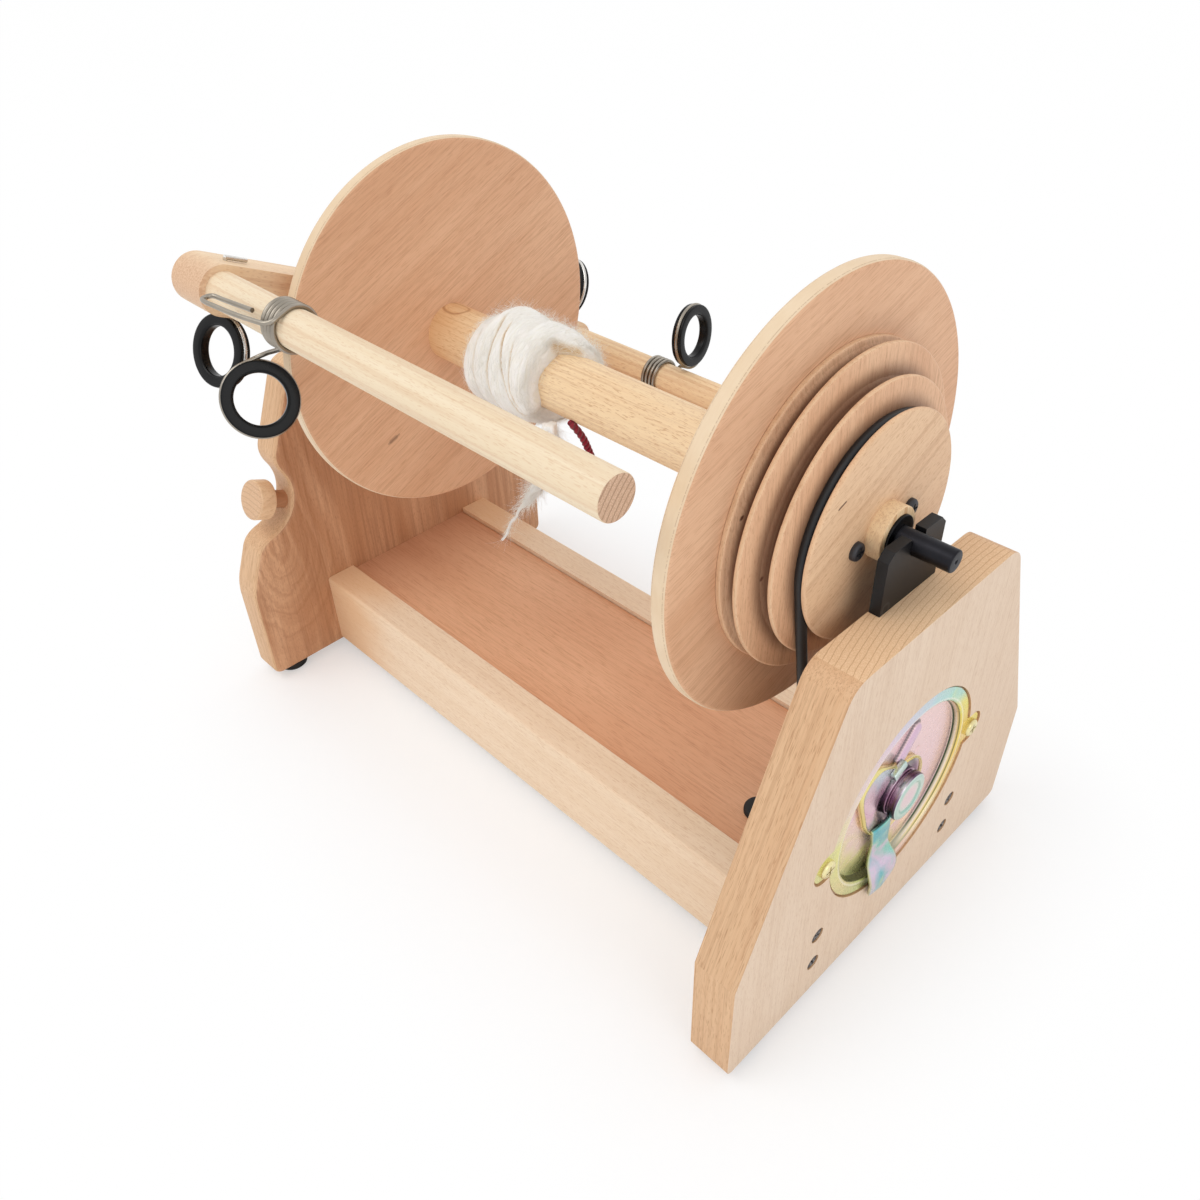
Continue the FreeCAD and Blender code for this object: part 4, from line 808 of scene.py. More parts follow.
# beech cut for this wheel: the faces are pale, the sawn edges yellower with more flecks
paleBoard = {"colours": ((229, 206, 182), (219, 191, 164), (192, 156, 126)), "turn": upright, "rings": (150.0, 0.4),
             "streaks": (0.22, 30.0, 900.0), "pores": (0.35, 330.0, 3600.0, 0.62), "cloud": (0.4, 22.0),
             "pith": (0.0, 0.05, 0.35), "bump": 0.04}
sawnEdge = {"colours": ((224, 186, 146), (211, 167, 126), (166, 116, 78)), "turn": (-math.radians(22.9), half, 0),
            "mirrored": True, "rings": (420.0, 0.5), "streaks": (0.32, 14.0, 1500.0),
            "pores": (0.5, 190.0, 3600.0, 0.63), "pith": (0.0, 0.05, 0.35)}
brownFace = {"colours": ((224, 178, 140), (192, 140, 102), (156, 106, 74)), "turn": upright, "rings": (130.0, 0.9),
             "cathedral": (0.080, -0.075, 0.50, 0.036, (158, 104, 68), 0.42), "sway": 0.050,
             "streaks": (0.4, 20.0, 700.0), "pores": (0.4, 380.0, 3000.0, 0.62), "cloud": (0.5, 22.0),
             "pith": (0.0, -0.02, 0.19)}
boardTop = {"colours": ((236, 202, 164), (222, 184, 144), (176, 124, 84)), "turn": upright, "pith": (0.03, -0.42),
            "rings": (470.0, 0.5, 0.92)}
railWood = {"colours": ((244, 220, 192), (235, 207, 175), (206, 164, 124)), "rings": (260.0, 0.45),
            "tintAndShade": ((228, 178, 128), -0.108, 0.022, 0.6), "streaks": (0.16, 18.0, 1100.0),
            "pores": (0.42, 300.0, 3400.0, 0.62), "pith": (0.0, 0.12, -0.10)}
# the base's darker tint toward the orifice end is painted shade from the orifice board
baseWood = {"colours": ((236, 186, 148), (220, 163, 124), (178, 120, 84)), "rings": (110.0, 0.5),
            "streaks": (0.26, 24.0, 1300.0), "pores": (0.34, 150.0, 3000.0, 0.62), "cloud": (0.8, 13.0),
            "pith": (0.0, 0.02, 0.30), "tintAndShade": ((170, 108, 76), -0.108, 0.045, 0.5)}
frameValues = {"boardBevel": 0.0016, "railBevel": 0.0012, "baseBevel": 0.0003, "cradleBevel": 0.0005}


# a closed line with even steps along it, and the length of a step
def evenly(points, count):
    closed = np.vstack([points, points[:1]])
    way = np.append(0.0, np.cumsum(np.linalg.norm(np.diff(closed, axis=0), axis=1)))
    at = np.linspace(0, way[-1], count, endpoint=False)
    return np.stack([np.interp(at, way, closed[:, k]) for k in (0, 1)], -1), way[-1] / count


# notch is (y, z, radius); spans are rounded lengths to either side of a corner, the feet's below footTop
notchedValues = {"corners": [(0.0955, 0.004), (0.0955, 0.059), (0.049, 0.169), (-0.049, 0.169), (-0.0955, 0.059),
                             (-0.0955, 0.004)],
                 "notch": (-0.0833, 0.1069, 0.0220), "span": 0.0075, "footSpan": 0.0050, "footTop": 0.03,
                 "round": 0.0026, "inner": -0.148, "outer": -0.166, "points": 1600}


# the orifice board: its outline is the moving average of straight sides and the notch's arc, over a span to either
# side, and its rim is rounded: inset = r (1 - sin t), depth = r (1 - cos t)
def makeNotchedBoard(v, woods):
    middle, radius = np.array(v["notch"][:2]), v["notch"][2]
    rough, _ = evenly(np.array(v["corners"]), v["points"] * 4)
    away = rough - middle
    reach = np.linalg.norm(away, axis=1, keepdims=True)
    rough, step = evenly(np.where(reach < radius, middle + away / reach * radius, rough), v["points"])
    averages = [np.mean([np.roll(rough, k, axis=0) for k in range(-int(span / step), int(span / step) + 1)], axis=0)
                for span in (v["span"], v["footSpan"])]
    line = np.where(rough[:, 1:] < v["footTop"], averages[1], averages[0])
    along = unit(np.roll(line, -1, axis=0) - np.roll(line, 1, axis=0))
    inward = np.stack([-along[:, 1], along[:, 0]], -1)
    t, rim = np.linspace(0, half, 8), v["round"] + 0.0004
    inset, depth = v["round"] * (1 - np.sin(t)), v["round"] * (1 - np.cos(t)) / (v["inner"] - v["outer"])
    inset = np.concatenate([[rim], inset, inset[::-1], [rim]])[:, None, None]
    depth = np.concatenate([[0.0], depth, 1.0 - depth[::-1], [1.0]])[:, None] + line[None, :, 0] * 0
    x = v["inner"] + (v["outer"] - v["inner"]) * depth
    mesh = gridMesh("notchedBoard", np.concatenate([x[..., None], line + inward * inset], -1))
    aside, height = np.abs(rough[:, 0]), rough[:, 1]
    edge = np.where(height > 0.1689, 2, np.where((aside > 0.0953) & (height < 0.0585), 4, 1))[None, :]
    rows = np.arange(len(x) - 1)[:, None]
    slots = np.where(rows < 4, 3, np.where(rows > len(x) - 6, 0, edge))
    mesh.polygons.foreach_set("material_index", slots.reshape(-1).astype(np.int32))

    def fill(work):
        border = [edge for edge in work.edges if edge.is_boundary]
        for face in bmesh.ops.edgeloop_fill(work, edges=border)["faces"]:
            face.material_index = 3 if face.calc_center_median().x > (v["inner"] + v["outer"]) / 2 else 0

    settle("orifice_board", closeUp(reworked(mesh, fill), 1e-7, 60), woods, "orifice_end_board")


def makeFrame(values):
    def cut(normal, middle):
        if abs(normal.x) > 0.8:
            return 3 if normal.x > 0 and middle.x < 0 else 0
        if normal.z > 0.97 and middle.z > 0.16:
            return 2
        return 4 if abs(normal.y) > 0.99 else 1

    woods = [woodFinish("boardFace", paleBoard), woodFinish("boardEdge", sawnEdge), endGrain("boardTop", **boardTop),
             woodFinish("boardInside", brownFace),
             woodFinish("boardFoot", {**sawnEdge, "turn": upright, "mirrored": False})]
    copied("drive_board", "drive_end_board", woods, values["boardBevel"], segments=5, band=cut)
    makeNotchedBoard(notchedValues, woods)
    plank = woodFinish("railBeech", railWood)
    for side in ("near", "far"):
        copied(side + "_plank", side + "_rail", [plank], values["railBevel"])
    copied("base_plywood", "base_panel", [woodFinish("basePlywood", baseWood)], values["baseBevel"])
    for end in ("drive", "orifice"):
        copied(end + "_cradle_block", end + "_cradle", [materials["black"]], values["cradleBevel"])


# the foot of a head stands at rest[way] along X, and its cross is deep[way]
screwValues = {"radius": 0.0034, "dome": 0.0005, "rest": {1: 0.1654, -1: 0.1661}, "deep": {1: 0.0011, -1: 0.0005},
               "skirt": 0.0012, "slot": 0.00040, "reach": 0.0019, "soft": 0.0004, "turns": (0.3, 1.1, 0.7, 0.1)}


# the screws' heads: shallow domes, h = dome (1 - r^2) less a cross where the smaller of |u| and |v| is below the
# slot's half
def makeScrewHeads(v):
    spots = np.array([point.co for point in nodes["frame_screws"].data.vertices])
    middle = (spots[:, 2].min() + spots[:, 2].max()) / 2
    r, turn = np.meshgrid(np.append(np.linspace(0.0, 1.0, 30), 1.0), around(72), indexing="ij")
    a, b = r * v["radius"] * np.cos(turn), r * v["radius"] * np.sin(turn)
    low, high = np.minimum(np.abs(a), np.abs(b)), np.maximum(np.abs(a), np.abs(b))
    slot = eased((v["slot"] * 1.5 - low) / v["slot"]) * eased((v["reach"] - high) / v["soft"])
    parts = bmesh.new()
    for way in (-1, 1):
        height = v["dome"] * (1 - r ** 2) - v["deep"][way] * slot
        height[-1] -= v["skirt"]
        for side in (-1, 1):
            for level in (-1, 1):
                here = (spots[:, 0] * way > 0.155) & (spots[:, 1] * side > 0) & ((spots[:, 2] - middle) * level > 0)
                y, z = (spots[here].min(0)[1:] + spots[here].max(0)[1:]) / 2
                spin = v["turns"][(side + 1) + (level + 1) // 2]
                across, up = a * math.cos(spin) - b * math.sin(spin), a * math.sin(spin) + b * math.cos(spin)
                grid = np.stack([way * (v["rest"][way] + height), y + across, z + up], -1)
                parts.from_mesh(gridMesh("screwHead", grid, flow=(r, slot, 0.0)))
    mesh = bpy.data.meshes.new("screwHeads")
    parts.to_mesh(mesh)
    parts.free()
    look = Finish("screwHead", Metallic=0.6, Roughness=0.38)
    out, slot, _ = look.flow()
    fine = look.noise(look.place(), 700.0, 2.0)
    # the dark outer ring and the dark cross are painted shade of the counterbore and the slot
    colour = look.mix(out.above(0.50, 0.18), look.mix(fine, (150, 146, 144), (100, 96, 96)), (40, 34, 36))
    look.feed(Base_Color=look.mix(slot.above(0.4, 0.3), colour, (40, 34, 34)))
    settle("screw_heads", closeUp(mesh), [look.material], body="frame")


beltValues = {"bevel": 0.00002, "thicker": 0.00045}


def makeBelt(values):
    belt = copied("round_belt", "drive_belt", [materials["belt"]], values["bevel"])
    modified(belt, "swell", "DISPLACE", strength=values["thicker"], mid_level=0.0)


pegValues = {"seat": (-0.157, -0.06303, 0.09832), "way": (0.0, -0.92108, 0.38937), "depth": 0.026, "stem": 0.0045,
             "reach": 0.0095, "head": 0.010, "headLength": 0.009,
             "wood": {"colours": ((238, 206, 168), (222, 182, 142), (186, 138, 98)), "turn": (0, 0, -half),
                      "rings": (380.0, 0.35)},
             "end": {"colours": ((226, 190, 156), (210, 170, 134), (136, 102, 78)), "turn": (0, 0, -half),
                     "pith": (0.157, 0.05), "rings": (420.0, 0.2, 0.72)}}


def makePeg(values):
    way = Vector(values["way"])
    neck = values["depth"] + values["reach"]
    top, head, stem = neck + values["headLength"], values["head"], values["stem"]
    profile = [(0, 0, 0, 2), (0, stem, 0.0006, 2), (neck, stem, 0.0006, 2), (neck, head, 0.0012),
               (top, head, 0.0016, 1), (top, 0, 0, 1)]
    # the stem's darker copy of the peg's beech is painted shade under the head
    stemShadeWood = {**values["wood"], "colours": ((190, 140, 104), (160, 108, 76), (186, 138, 98))}
    woods = [woodFinish("pegBeech", values["wood"]), endGrain("pegEnd", **values["end"]),
             woodFinish("pegStemShade", stemShadeWood)]
    foot = Vector(values["seat"]) - way * values["depth"]
    turned("turned_peg", profile, "tension_peg", woods, 72, tuple(foot), tuple(way), closed=False)


makeFrame(frameValues)
makeScrewHeads(screwValues)
makeBelt(beltValues)
makePeg(pegValues)
print("stage: frame and peg")


discValues = {"radius": 0.080, "bore": 0.006, "edge": 0.0019, "glue": 0.0011, "line": 0.00010,
              "front": {"ends": (-0.0907, -0.0841), "turn": (-math.radians(24), 0, -half),
                        "marks": [((-0.0841, -0.0412, 0.1494), (-0.0841, -0.0352, 0.1516), 0.0005, 0.35),
                                  ((-0.0841, -0.0398, 0.1500), (-0.0841, -0.0370, 0.1510), 0.0010, 0.4)]},
              "rear": {"ends": (0.1109, 0.1175), "turn": (-math.radians(18), 0, -half), "marks": []},
              "face": {"colours": ((233, 190, 154), (217, 168, 131), (180, 128, 94)), "rings": (100.0, 0.45),
                       "streaks": (0.30, 24.0, 1300.0), "pores": (0.36, 150.0, 3600.0, 0.60), "cloud": (0.75, 17.0),
                       "coat": 0.06, "rough": 0.55, "pith": (0.0, 0.02, 0.30)}}


# a plywood rim: cream, with a thin dotted glue line just inside each face
def rimFinish(name, values, ends):
    rim = Finish(name, Specular_IOR_Level=0.3, Coat_Weight=0.05)
    where = rim.place()
    x, _, _ = rim.split(where)
    fibre = rim.noise(rim.stretch(where, (1500.0, 260.0, 260.0)), 1.0, 3.0)
    broad = rim.noise(where, 60.0, 2.0)
    colour = rim.mix(fibre * 0.5 + broad.above(0.5, 0.25) * 0.4, (236, 214, 184), (222, 193, 157))
    dots = rim.noise(rim.stretch(where, (200.0, 1900.0, 1900.0)), 1.0, 1.0).above(0.44, 0.08)
    for edge, way in zip(ends, (1, -1)):
        line = (x - (edge + way * values["glue"])).size().below(values["line"], values["line"])
        colour = rim.mix(line * dots * 0.45, colour, (146, 108, 78))
    rim.feed(Base_Color=colour, Roughness=0.5 + fibre * 0.1)
    rim.bump(fibre, 0.05, 0.0003)
    return rim.material


def makeDiscs(values):
    radius, bore, edge = values["radius"], values["bore"], values["edge"]
    for name in ("front", "rear"):
        disc = values[name]
        low, high = disc["ends"]
        face = woodFinish(name + "DiscFace", {**values["face"], "turn": disc["turn"], "marks": disc["marks"]})
        profile = [(low, bore), (low, radius, edge, 1), (high, radius, edge), (high, bore)]
        looks = [face, rimFinish(name + "DiscRim", values, disc["ends"])]
        turned(name + "_disc_ply", profile, name + "_disc", looks, 256, steps=6)


coreValues = {"ends": (-0.0841, 0.1109), "radius": 0.0125, "bore": 0.006,
              "wood": {"colours": ((246, 220, 180), (235, 200, 156), (184, 130, 86)), "rings": (480.0, 0.35),
                       "pith": (0.0, 0.02, 0.20), "streaks": (0.3, 18.0, 900.0),
                       "pores": (0.46, 330.0, 2700.0, 0.625), "cloud": (0.4, 22.0),
                       "tintAndShade": ((226, 168, 108), -0.066, 0.016, 0.55),
                       "figures": [((-0.0785, 0.0000, 0.2014), 0.0044, 0.0005, (168, 100, 52), 0.6)]}}


def makeCore(values):
    low, high = values["ends"]
    radius, bore = values["radius"], values["bore"]
    profile = [(low, bore), (low, radius), (high, radius), (high, bore)]
    turned("core_dowel", profile, "bobbin_core", [woodFinish("coreBeech", values["wood"])], 96)


# slots and groove are a groove's floor as shares of its width and depth; boss is (radius, length, edge)
pulleyValues = {"start": 0.1175, "length": 0.0217, "rim": 0.0020, "bore": 0.006, "depth": 0.0048,
                "rims": (0.0572, 0.0572, 0.0485, 0.0403), "fillet": 0.0010, "lipFillet": 0.0007,
                "slot": [(0.10, 0.62), (0.35, 0.20), (0.62, -0.22), (0.86, -0.55), (0.955, -0.55)],
                "groove": [(0.10, 0.62), (0.30, 0.26), (0.55, 0.05), (0.84, -0.12), (0.955, -0.10)],
                "wall": {"colours": ((233, 190, 152), (218, 168, 130), (176, 122, 88)), "turn": upright,
                         "rings": (300.0, 0.5), "streaks": (0.35, 30.0, 1000.0), "pores": (0.35, 380.0, 3300.0, 0.62),
                         # slots and corners are painted shade in the grooves and on the flange faces above the next
                         # rims
                         "slots": (0.1195, 0.006567, 0.004567, 0.30, 0.16, (112, 68, 46)),
                         "corners": [(0.1250, 0.1276, 0.0485, 0.0032), (0.1316, 0.1345, 0.0403, 0.0034)],
                         "marks": [((0.1196, -0.0507, 0.2076), (0.1212, -0.0498, 0.2100), 0.00045, 1.0),
                                   ((0.1262, -0.0462, 0.1868), (0.1284, -0.0460, 0.1898), 0.00048, 1.0),
                                   ((0.1296, -0.0458, 0.1872), (0.1318, -0.0456, 0.1914), 0.00045, 1.0)]},
                "lip": {"colours": ((234, 198, 160), (220, 178, 140), (184, 136, 98)), "turn": upright,
                        "rings": (300.0, 0.35),
                        "marks": [((0.1243, -0.0484, 0.1845), (0.1262, -0.0464, 0.1868), 0.00045, 1.0)]},
                "face": {"colours": ((232, 196, 158), (216, 174, 136), (180, 130, 94)),
                         "turn": (-math.radians(24), 0, -half), "rings": (140.0, 0.35), "streaks": (0.35, 11.0, 420.0),
                         "pores": (0.4, 380.0, 2700.0, 0.62), "pith": (0.0, 0.02, 0.30),
                         "marks": [((0.1392, -0.0276, 0.2096), (0.1392, -0.0243, 0.2108), 0.00035, 1.0)]},
                "boss": (0.010, 0.0058, 0.0006),
                "bossSide": {**coreValues["wood"], "turn": upright, "pores": (0.35, 330.0, 2700.0, 0.625)},
                "bossEnd": {"colours": ((240, 212, 172), (222, 184, 138), (186, 134, 86)), "turn": upright,
                            "pith": (0.02, -0.20), "rings": (420.0, 0.6, 0.72)}}


# the stepped pulley: rims at the given radii, and between them the grooves
def makePulley(values):
    start, rims, rim, bore = values["start"], values["rims"], values["rim"], values["bore"]
    step = (values["length"] - rim) / 3
    fillet, lipFillet = values["fillet"], values["lipFillet"]
    profile = [(start, bore), (start, rims[0], 0.0004, 1), (start + rim, rims[0], lipFillet)]
    for index in range(3):
        begin, finish = start + index * step + rim, start + (index + 1) * step
        floor, last = rims[index + 1] - values["depth"], index == 2
        for share, height in values["groove" if last else "slot"]:
            profile.append((begin + (finish - begin) * share, floor + values["depth"] * height, fillet))
        profile.append((finish, rims[index + 1], lipFillet, 1))
        profile.append((finish + rim, rims[index + 1], fillet, 2 if last else 0))
    face = start + values["length"]
    profile.append((face, bore))
    woods = [woodFinish("pulleyGroove", values["wall"]), woodFinish("pulleyLip", values["lip"]),
             woodFinish("pulleyFace", values["face"])]
    turned("stepped_pulley", profile, "drive_pulley", woods, 256)
    radius, length, edge = values["boss"]
    profile = [(face, bore), (face, radius), (face + length, radius, edge, 1), (face + length, bore, 0, 1)]
    woods = [woodFinish("bossSide", values["bossSide"]), endGrain("bossEnd", **values["bossEnd"])]
    turned("boss_ring", profile, "pulley_boss", woods, 96)


bushValues = {"bore": 0.00406, "sleeve": 0.006, "flange": 0.0075, "thick": 0.001, "length": 0.014, "edge": 0.0003,
              "bushes": [("rear_bearing", "rear_bush", 0.145, -1), ("front_bearing", "front_bush", -0.0907, 1)],
              "collar": [(-0.1015, 0.004), (-0.1015, 0.0065, 0.0003), (-0.0922, 0.0065, 0.0006), (-0.0922, 0.004)]}


# flanged bushes: a thin black flange on the face and a sleeve in the bore
def makeBushes(v):
    for name, node, face, way in v["bushes"]:
        front, end, edge = face - way * v["thick"], face + way * v["length"], v["edge"]
        profile = [(front, v["bore"], edge), (front, v["flange"], edge), (face, v["flange"]), (face, v["sleeve"]),
                   (end, v["sleeve"], edge), (end, v["bore"], edge)]
        turned(name, profile, node, [materials["ring"]], 72)
    turned("shaft_collar_ring", v["collar"], "shaft_collar", [materials["ring"]], 64)


makeDiscs(discValues)
makeCore(coreValues)
makePulley(pulleyValues)
makeBushes(bushValues)
print("stage: bobbin")


flyerValues = {"distance": 0.0995, "armRadius": 0.0075, "armStart": -0.1195, "armEnd": 0.1095, "endEdge": 0.0008,
               "near": {"colours": ((239, 222, 194), (231, 206, 170), (206, 160, 116)), "rings": (320.0, 0.35),
                        "pith": (0.0, -0.08, 0.25), "streaks": (0.3, 8.0, 700.0), "pores": (0.30, 330.0, 2900.0, 0.62),
                        "cloud": (0.45, 22.0)},
               "far": {"colours": ((248, 220, 178), (238, 198, 152), (196, 136, 88)), "rings": (420.0, 0.35),
                       "pith": (0.0, 0.12, 0.20), "streaks": (0.3, 8.0, 420.0), "pores": (0.35, 330.0, 2900.0, 0.62)},
               "end": {"colours": ((222, 188, 160), (194, 158, 130), (150, 114, 90)), "pith": (-0.060, 0.205),
                       "rings": (480.0, 0.6, 0.72)},
               "bar": {"colours": ((243, 218, 184), (229, 194, 154), (186, 138, 100)), "turn": (flyerAngle, 0, -half),
                       "rings": (260.0, 0.35), "pith": (0.0, 0.16, 0.12),
                       "ends": (-0.0787, 0.1045, 0.0055, (226, 190, 156), (206, 164, 130))},
               "bevel": 0.0016, "hubBevel": 0.0003}


def makeFlyer(values):
    end = endGrain("armEnd", **values["end"])
    start, stop, radius = values["armStart"], values["armEnd"], values["armRadius"]
    profile = [(start, 0), (start, radius), (stop, radius, values["endEdge"], 1), (stop, 0, 0, 1)]
    for name, side in (("near", -1), ("far", 1)):
        out = side * values["distance"]
        centre = (0.0, out * math.cos(flyerAngle), axisHeight - out * math.sin(flyerAngle))
        looks = [woodFinish(name + "ArmBeech", values[name]), end]
        turned(name + "_dowel", profile, name + "_arm", looks, 96, centre, closed=False)
    bar = woodFinish("crossbarBeech", values["bar"])
    copied("crossbar_beech", "flyer_crossbar", [bar], values["bevel"], angle=50.0, segments=4)
    copied("hub_beech", "orifice_hub", [woodFinish("hubBeech", values["near"])], values["hubBevel"])


shaftValues = {"start": -0.1285, "end": 0.1659, "radius": 0.004, "edge": 0.0006, "dot": 0.0009, "dotDepth": 0.0008}


def makeShaft(values):
    start, end, radius = values["start"], values["end"], values["radius"]
    profile = [(start, 0), (start, radius), (end, radius, values["edge"]), (end, values["dot"], 0.0001),
               (end - values["dotDepth"], 0)]
    turned("steel_shaft", profile, "flyer_shaft", [materials["shaft"]], 72, closed=False)


# each ring is (centre, the way it faces)
ringValues = {"outer": 0.0145, "bore": 0.0098, "thick": 0.0050, "soft": 0.0012, "grooveRadius": 0.0132,
              "groove": 0.00115, "taper": 0.7, "crisp": 0.0002,
              "fixed": {"near": ((-0.1100, -0.09423, 0.20443), (0.17365, -0.89542, 0.40996)),
                        "far": ((-0.1100, 0.09423, 0.17357), (0.17365, 0.89542, -0.40996))},
              "hook": {"near": ((-0.0725, -0.09995, 0.19860), (0.85134, -0.29980, 0.43051)),
                       "far": ((-0.0295, 0.09946, 0.16983), (0.98209, 0.16964, 0.08194))}}


# a guide ring: soft-edged, with the groove that its wire lies in
def makeRings(values):
    edge, groove, soft, crisp = values["thick"] / 2, values["groove"], values["soft"], values["crisp"]
    outer, bore, floor, foot = values["outer"], values["bore"], values["grooveRadius"], groove * values["taper"]
    profile = [(-edge, bore, soft), (-edge, outer, soft), (-groove, outer, crisp), (-foot, floor, crisp),
               (foot, floor, crisp), (groove, outer, crisp), (edge, outer, soft), (edge, bore, soft)]
    for kind in ("fixed", "hook"):
        for side, (centre, facing) in values[kind].items():
            name = f"{side}_{kind}"
            turned(name + "_eyelet", profile, name + "_ring", [materials["ring"]], 96, centre, facing, steps=5)


makeFlyer(flyerValues)
makeShaft(shaftValues)
makeRings(ringValues)
print("stage: flyer, shaft and rings")


# chromated steel is drawn by where it lies: paint is told the finish, X, y and z from the motor's axis as shares of
# 45 mm, the way round it and a drift, and gives back a colour
def filmFinish(name, metallic, rough, paint):
    film = Finish(name, Metallic=metallic)
    where = film.place()
    x, y, z = film.split(where)
    drift = film.noise(where, 55.0, 1.5, 0.5, 0.8) - 0.5
    y, z = y * 22.2, (z - motorHeight) * 22.2
    way = film.node("ShaderNodeMath", {"operation": "ARCTAN2"}, {0: z, 1: y}) / whole + 0.5
    fine = film.noise(where, 300.0, 2.0)
    film.feed(Base_Color=paint(film, x, y, z, way, drift), Roughness=fine * 0.12 + rough)
    film.bump(fine, 0.01, 0.0002)
    return film.material


# a dent is a place (y, z), and the bead is (from, to, width, rise) with such places as its ends
plateValues = {"radius": 0.0445, "face": 0.1654, "floorAt": 0.0377, "wallTop": 0.0391, "depth": 0.0030, "lip": 0.00045,
               "lipAt": 0.0401, "lipWide": 0.0010, "thick": 0.0013, "ear": 0.0475, "earRadius": 0.0065, "earFrom": 0.93,
               "sides": 360, "bead": ((0.0052, 0.1100), (-0.0030, 0.1002), 0.0036, 0.0019),
               "dents": [(0.0115, 0.0942), (-0.0150, 0.0850)], "dentDepth": 0.0009, "dentWide": 0.0012,
               "floor": [(0.0, (240, 208, 206)), (0.30, (238, 206, 210)), (0.46, (236, 202, 214)),
                         (0.58, (240, 210, 200)), (0.68, (236, 226, 160)), (0.80, (190, 200, 130)),
                         (0.90, (142, 156, 140)), (1.0, (104, 108, 100))],
               "flange": [(0.0, (226, 224, 150)), (0.10, (228, 214, 150)), (0.18, (196, 206, 130)),
                          (0.26, (226, 190, 176)), (0.36, (244, 226, 180)), (0.46, (240, 206, 120)),
                          (0.56, (236, 222, 96)), (0.63, (170, 216, 200)), (0.72, (190, 212, 218)),
                          (0.82, (222, 202, 216)), (0.92, (232, 214, 190)), (1.0, (226, 224, 150))],
               # facing and wall colour the dish wall: painted shade and painted highlights
               "facing": [(0.0, (84, 96, 74)), (0.22, (48, 66, 44)), (0.34, (190, 178, 150)), (0.55, (246, 230, 214)),
                          (0.74, (240, 214, 150)), (0.88, (120, 116, 62)), (1.0, (190, 176, 100))],
               "wall": [(0.0, (206, 200, 120)), (0.14, (100, 102, 52)), (0.24, (74, 74, 48)), (0.33, (244, 238, 214)),
                        (0.41, (132, 120, 84)), (0.50, (52, 78, 52)), (0.62, (58, 72, 56)), (0.70, (186, 186, 160)),
                        (1.0, (206, 200, 120))]}


def plateFinish(v):
    def paint(film, x, y, z, way, drift):
        ring, climb, bead = film.flow()
        out = (y * y + z * z) ** 0.5
        # the floor runs from pink to yellow-green, and its dark grey at the bottom-left is painted shade near the tab
        floor = film.ramp(v["floor"], y * -0.26 + z * -0.40 + drift * 0.34 + 0.36)
        flange = film.ramp(v["flange"], way + drift * 0.16 * out)
        colour = film.mix(out.above(0.85, 0.02), floor, flange)
        # the dish wall's colours by its way round and its height are painted shade in the dark bands and painted
        # highlights in the light ones
        slope = climb.above(0.06, 0.05) * climb.below(0.94, 0.05)
        facing = way.above(0.30, 0.04) * way.below(0.66, 0.05)
        wall = film.mix(facing, film.ramp(v["wall"], way), film.ramp(v["facing"], climb))
        colour = film.mix(bead.above(0.5, 0.2) * 0.7, colour, (206, 176, 206))
        colour = film.mix(slope, colour, wall)
        # the dark line round the bead's foot is painted shade
        colour = film.mix(ring.above(0.5, 0.3) * 0.85, colour, (92, 84, 92))
        # the near-white line along the lip is a painted highlight
        edge = (out - 0.888).size().below(0.006, 0.01)
        return film.mix(edge * (1.0 - slope).most(0.0) * 0.55, colour, (255, 250, 236))

    return filmFinish("plateZinc", 0.75, 0.22, paint)


# pressed steel on a polar grid: out to an outline that is the larger of a disc and two screw ears, its height falls
# smoothly into the dish, rises in a bead and sinks at two small dents; a second skin behind gives it thickness
def makePlate(v):
    turn, radius, earFrom = around(v["sides"]), v["radius"], v["earFrom"]
    share = np.concatenate([np.linspace(0.02, 0.78, 46), np.linspace(0.79, earFrom, 34), np.linspace(0.935, 1.0, 12)])
    share = share[:, None]
    ear = np.abs(np.sin(turn)) * v["ear"]
    reach = np.abs(np.cos(turn)) * v["ear"] + np.sqrt(np.clip(v["earRadius"] ** 2 - ear ** 2, 0, None))
    outline = np.where(ear < v["earRadius"], np.maximum(radius, reach), radius)
    outline = (np.roll(outline, 1) + 2 * outline + np.roll(outline, -1)) / 4
    r = share * radius + (outline - radius) * np.clip((share - earFrom) / (1 - earFrom), 0, 1)
    y, z = r * np.cos(turn), motorHeight + r * np.sin(turn)
    fall = eased((r - v["floorAt"]) / (v["wallTop"] - v["floorAt"]))
    (y0, z0), (y1, z1), wide, rise = v["bead"]
    span = np.hypot(y1 - y0, z1 - z0)
    along = np.clip(((y - y0) * (y1 - y0) + (z - z0) * (z1 - z0)) / span ** 2, 0, 1)
    away = np.hypot(y - (y0 + along * (y1 - y0)), z - (z0 + along * (z1 - z0))) / wide
    bead, ring = bell(away, 0.8, 6), bell(away - 0.95, 0.16)
    x = v["face"] - v["depth"] * (1 - fall) + v["lip"] * bell(r - v["lipAt"], v["lipWide"]) + rise * bead
    for dy, dz in v["dents"]:
        x = x - v["dentDepth"] * bell(np.hypot(y - dy, z - dz), v["dentWide"], 4)
    hearts = zip((x[0].mean(), 0.0, motorHeight), (x, y, z))
    x, y, z = (np.concatenate([np.full((1, v["sides"]), heart), field]) for heart, field in hearts)
    grid = np.concatenate([np.stack([x, y, z], -1), np.stack([x - v["thick"], y, z], -1)[::-1]])
    flow = [np.concatenate([field[:1], field, field[::-1], field[:1]]) for field in (ring, fall, bead)]
    mesh = closeUp(gridMesh("pressedPlate", grid, flow=flow), sharp=50.0)
    settle("pressed_plate", mesh, [plateFinish(v)], "motor_plate")


# a rounded outline through the given corners: the closed curve of their quadratic B-spline
def smoothOutline(corners, count):
    corners = np.asarray(corners, dtype=float)
    at = np.linspace(0, len(corners), count, endpoint=False)
    i, t = at.astype(int), (at % 1.0)[:, None]
    a, b, c = (corners[(i + k) % len(corners)] for k in (0, 1, 2))
    return 0.5 * ((1 - t) ** 2 * a + (1 + 2 * t * (1 - t)) * b + t ** 2 * c)


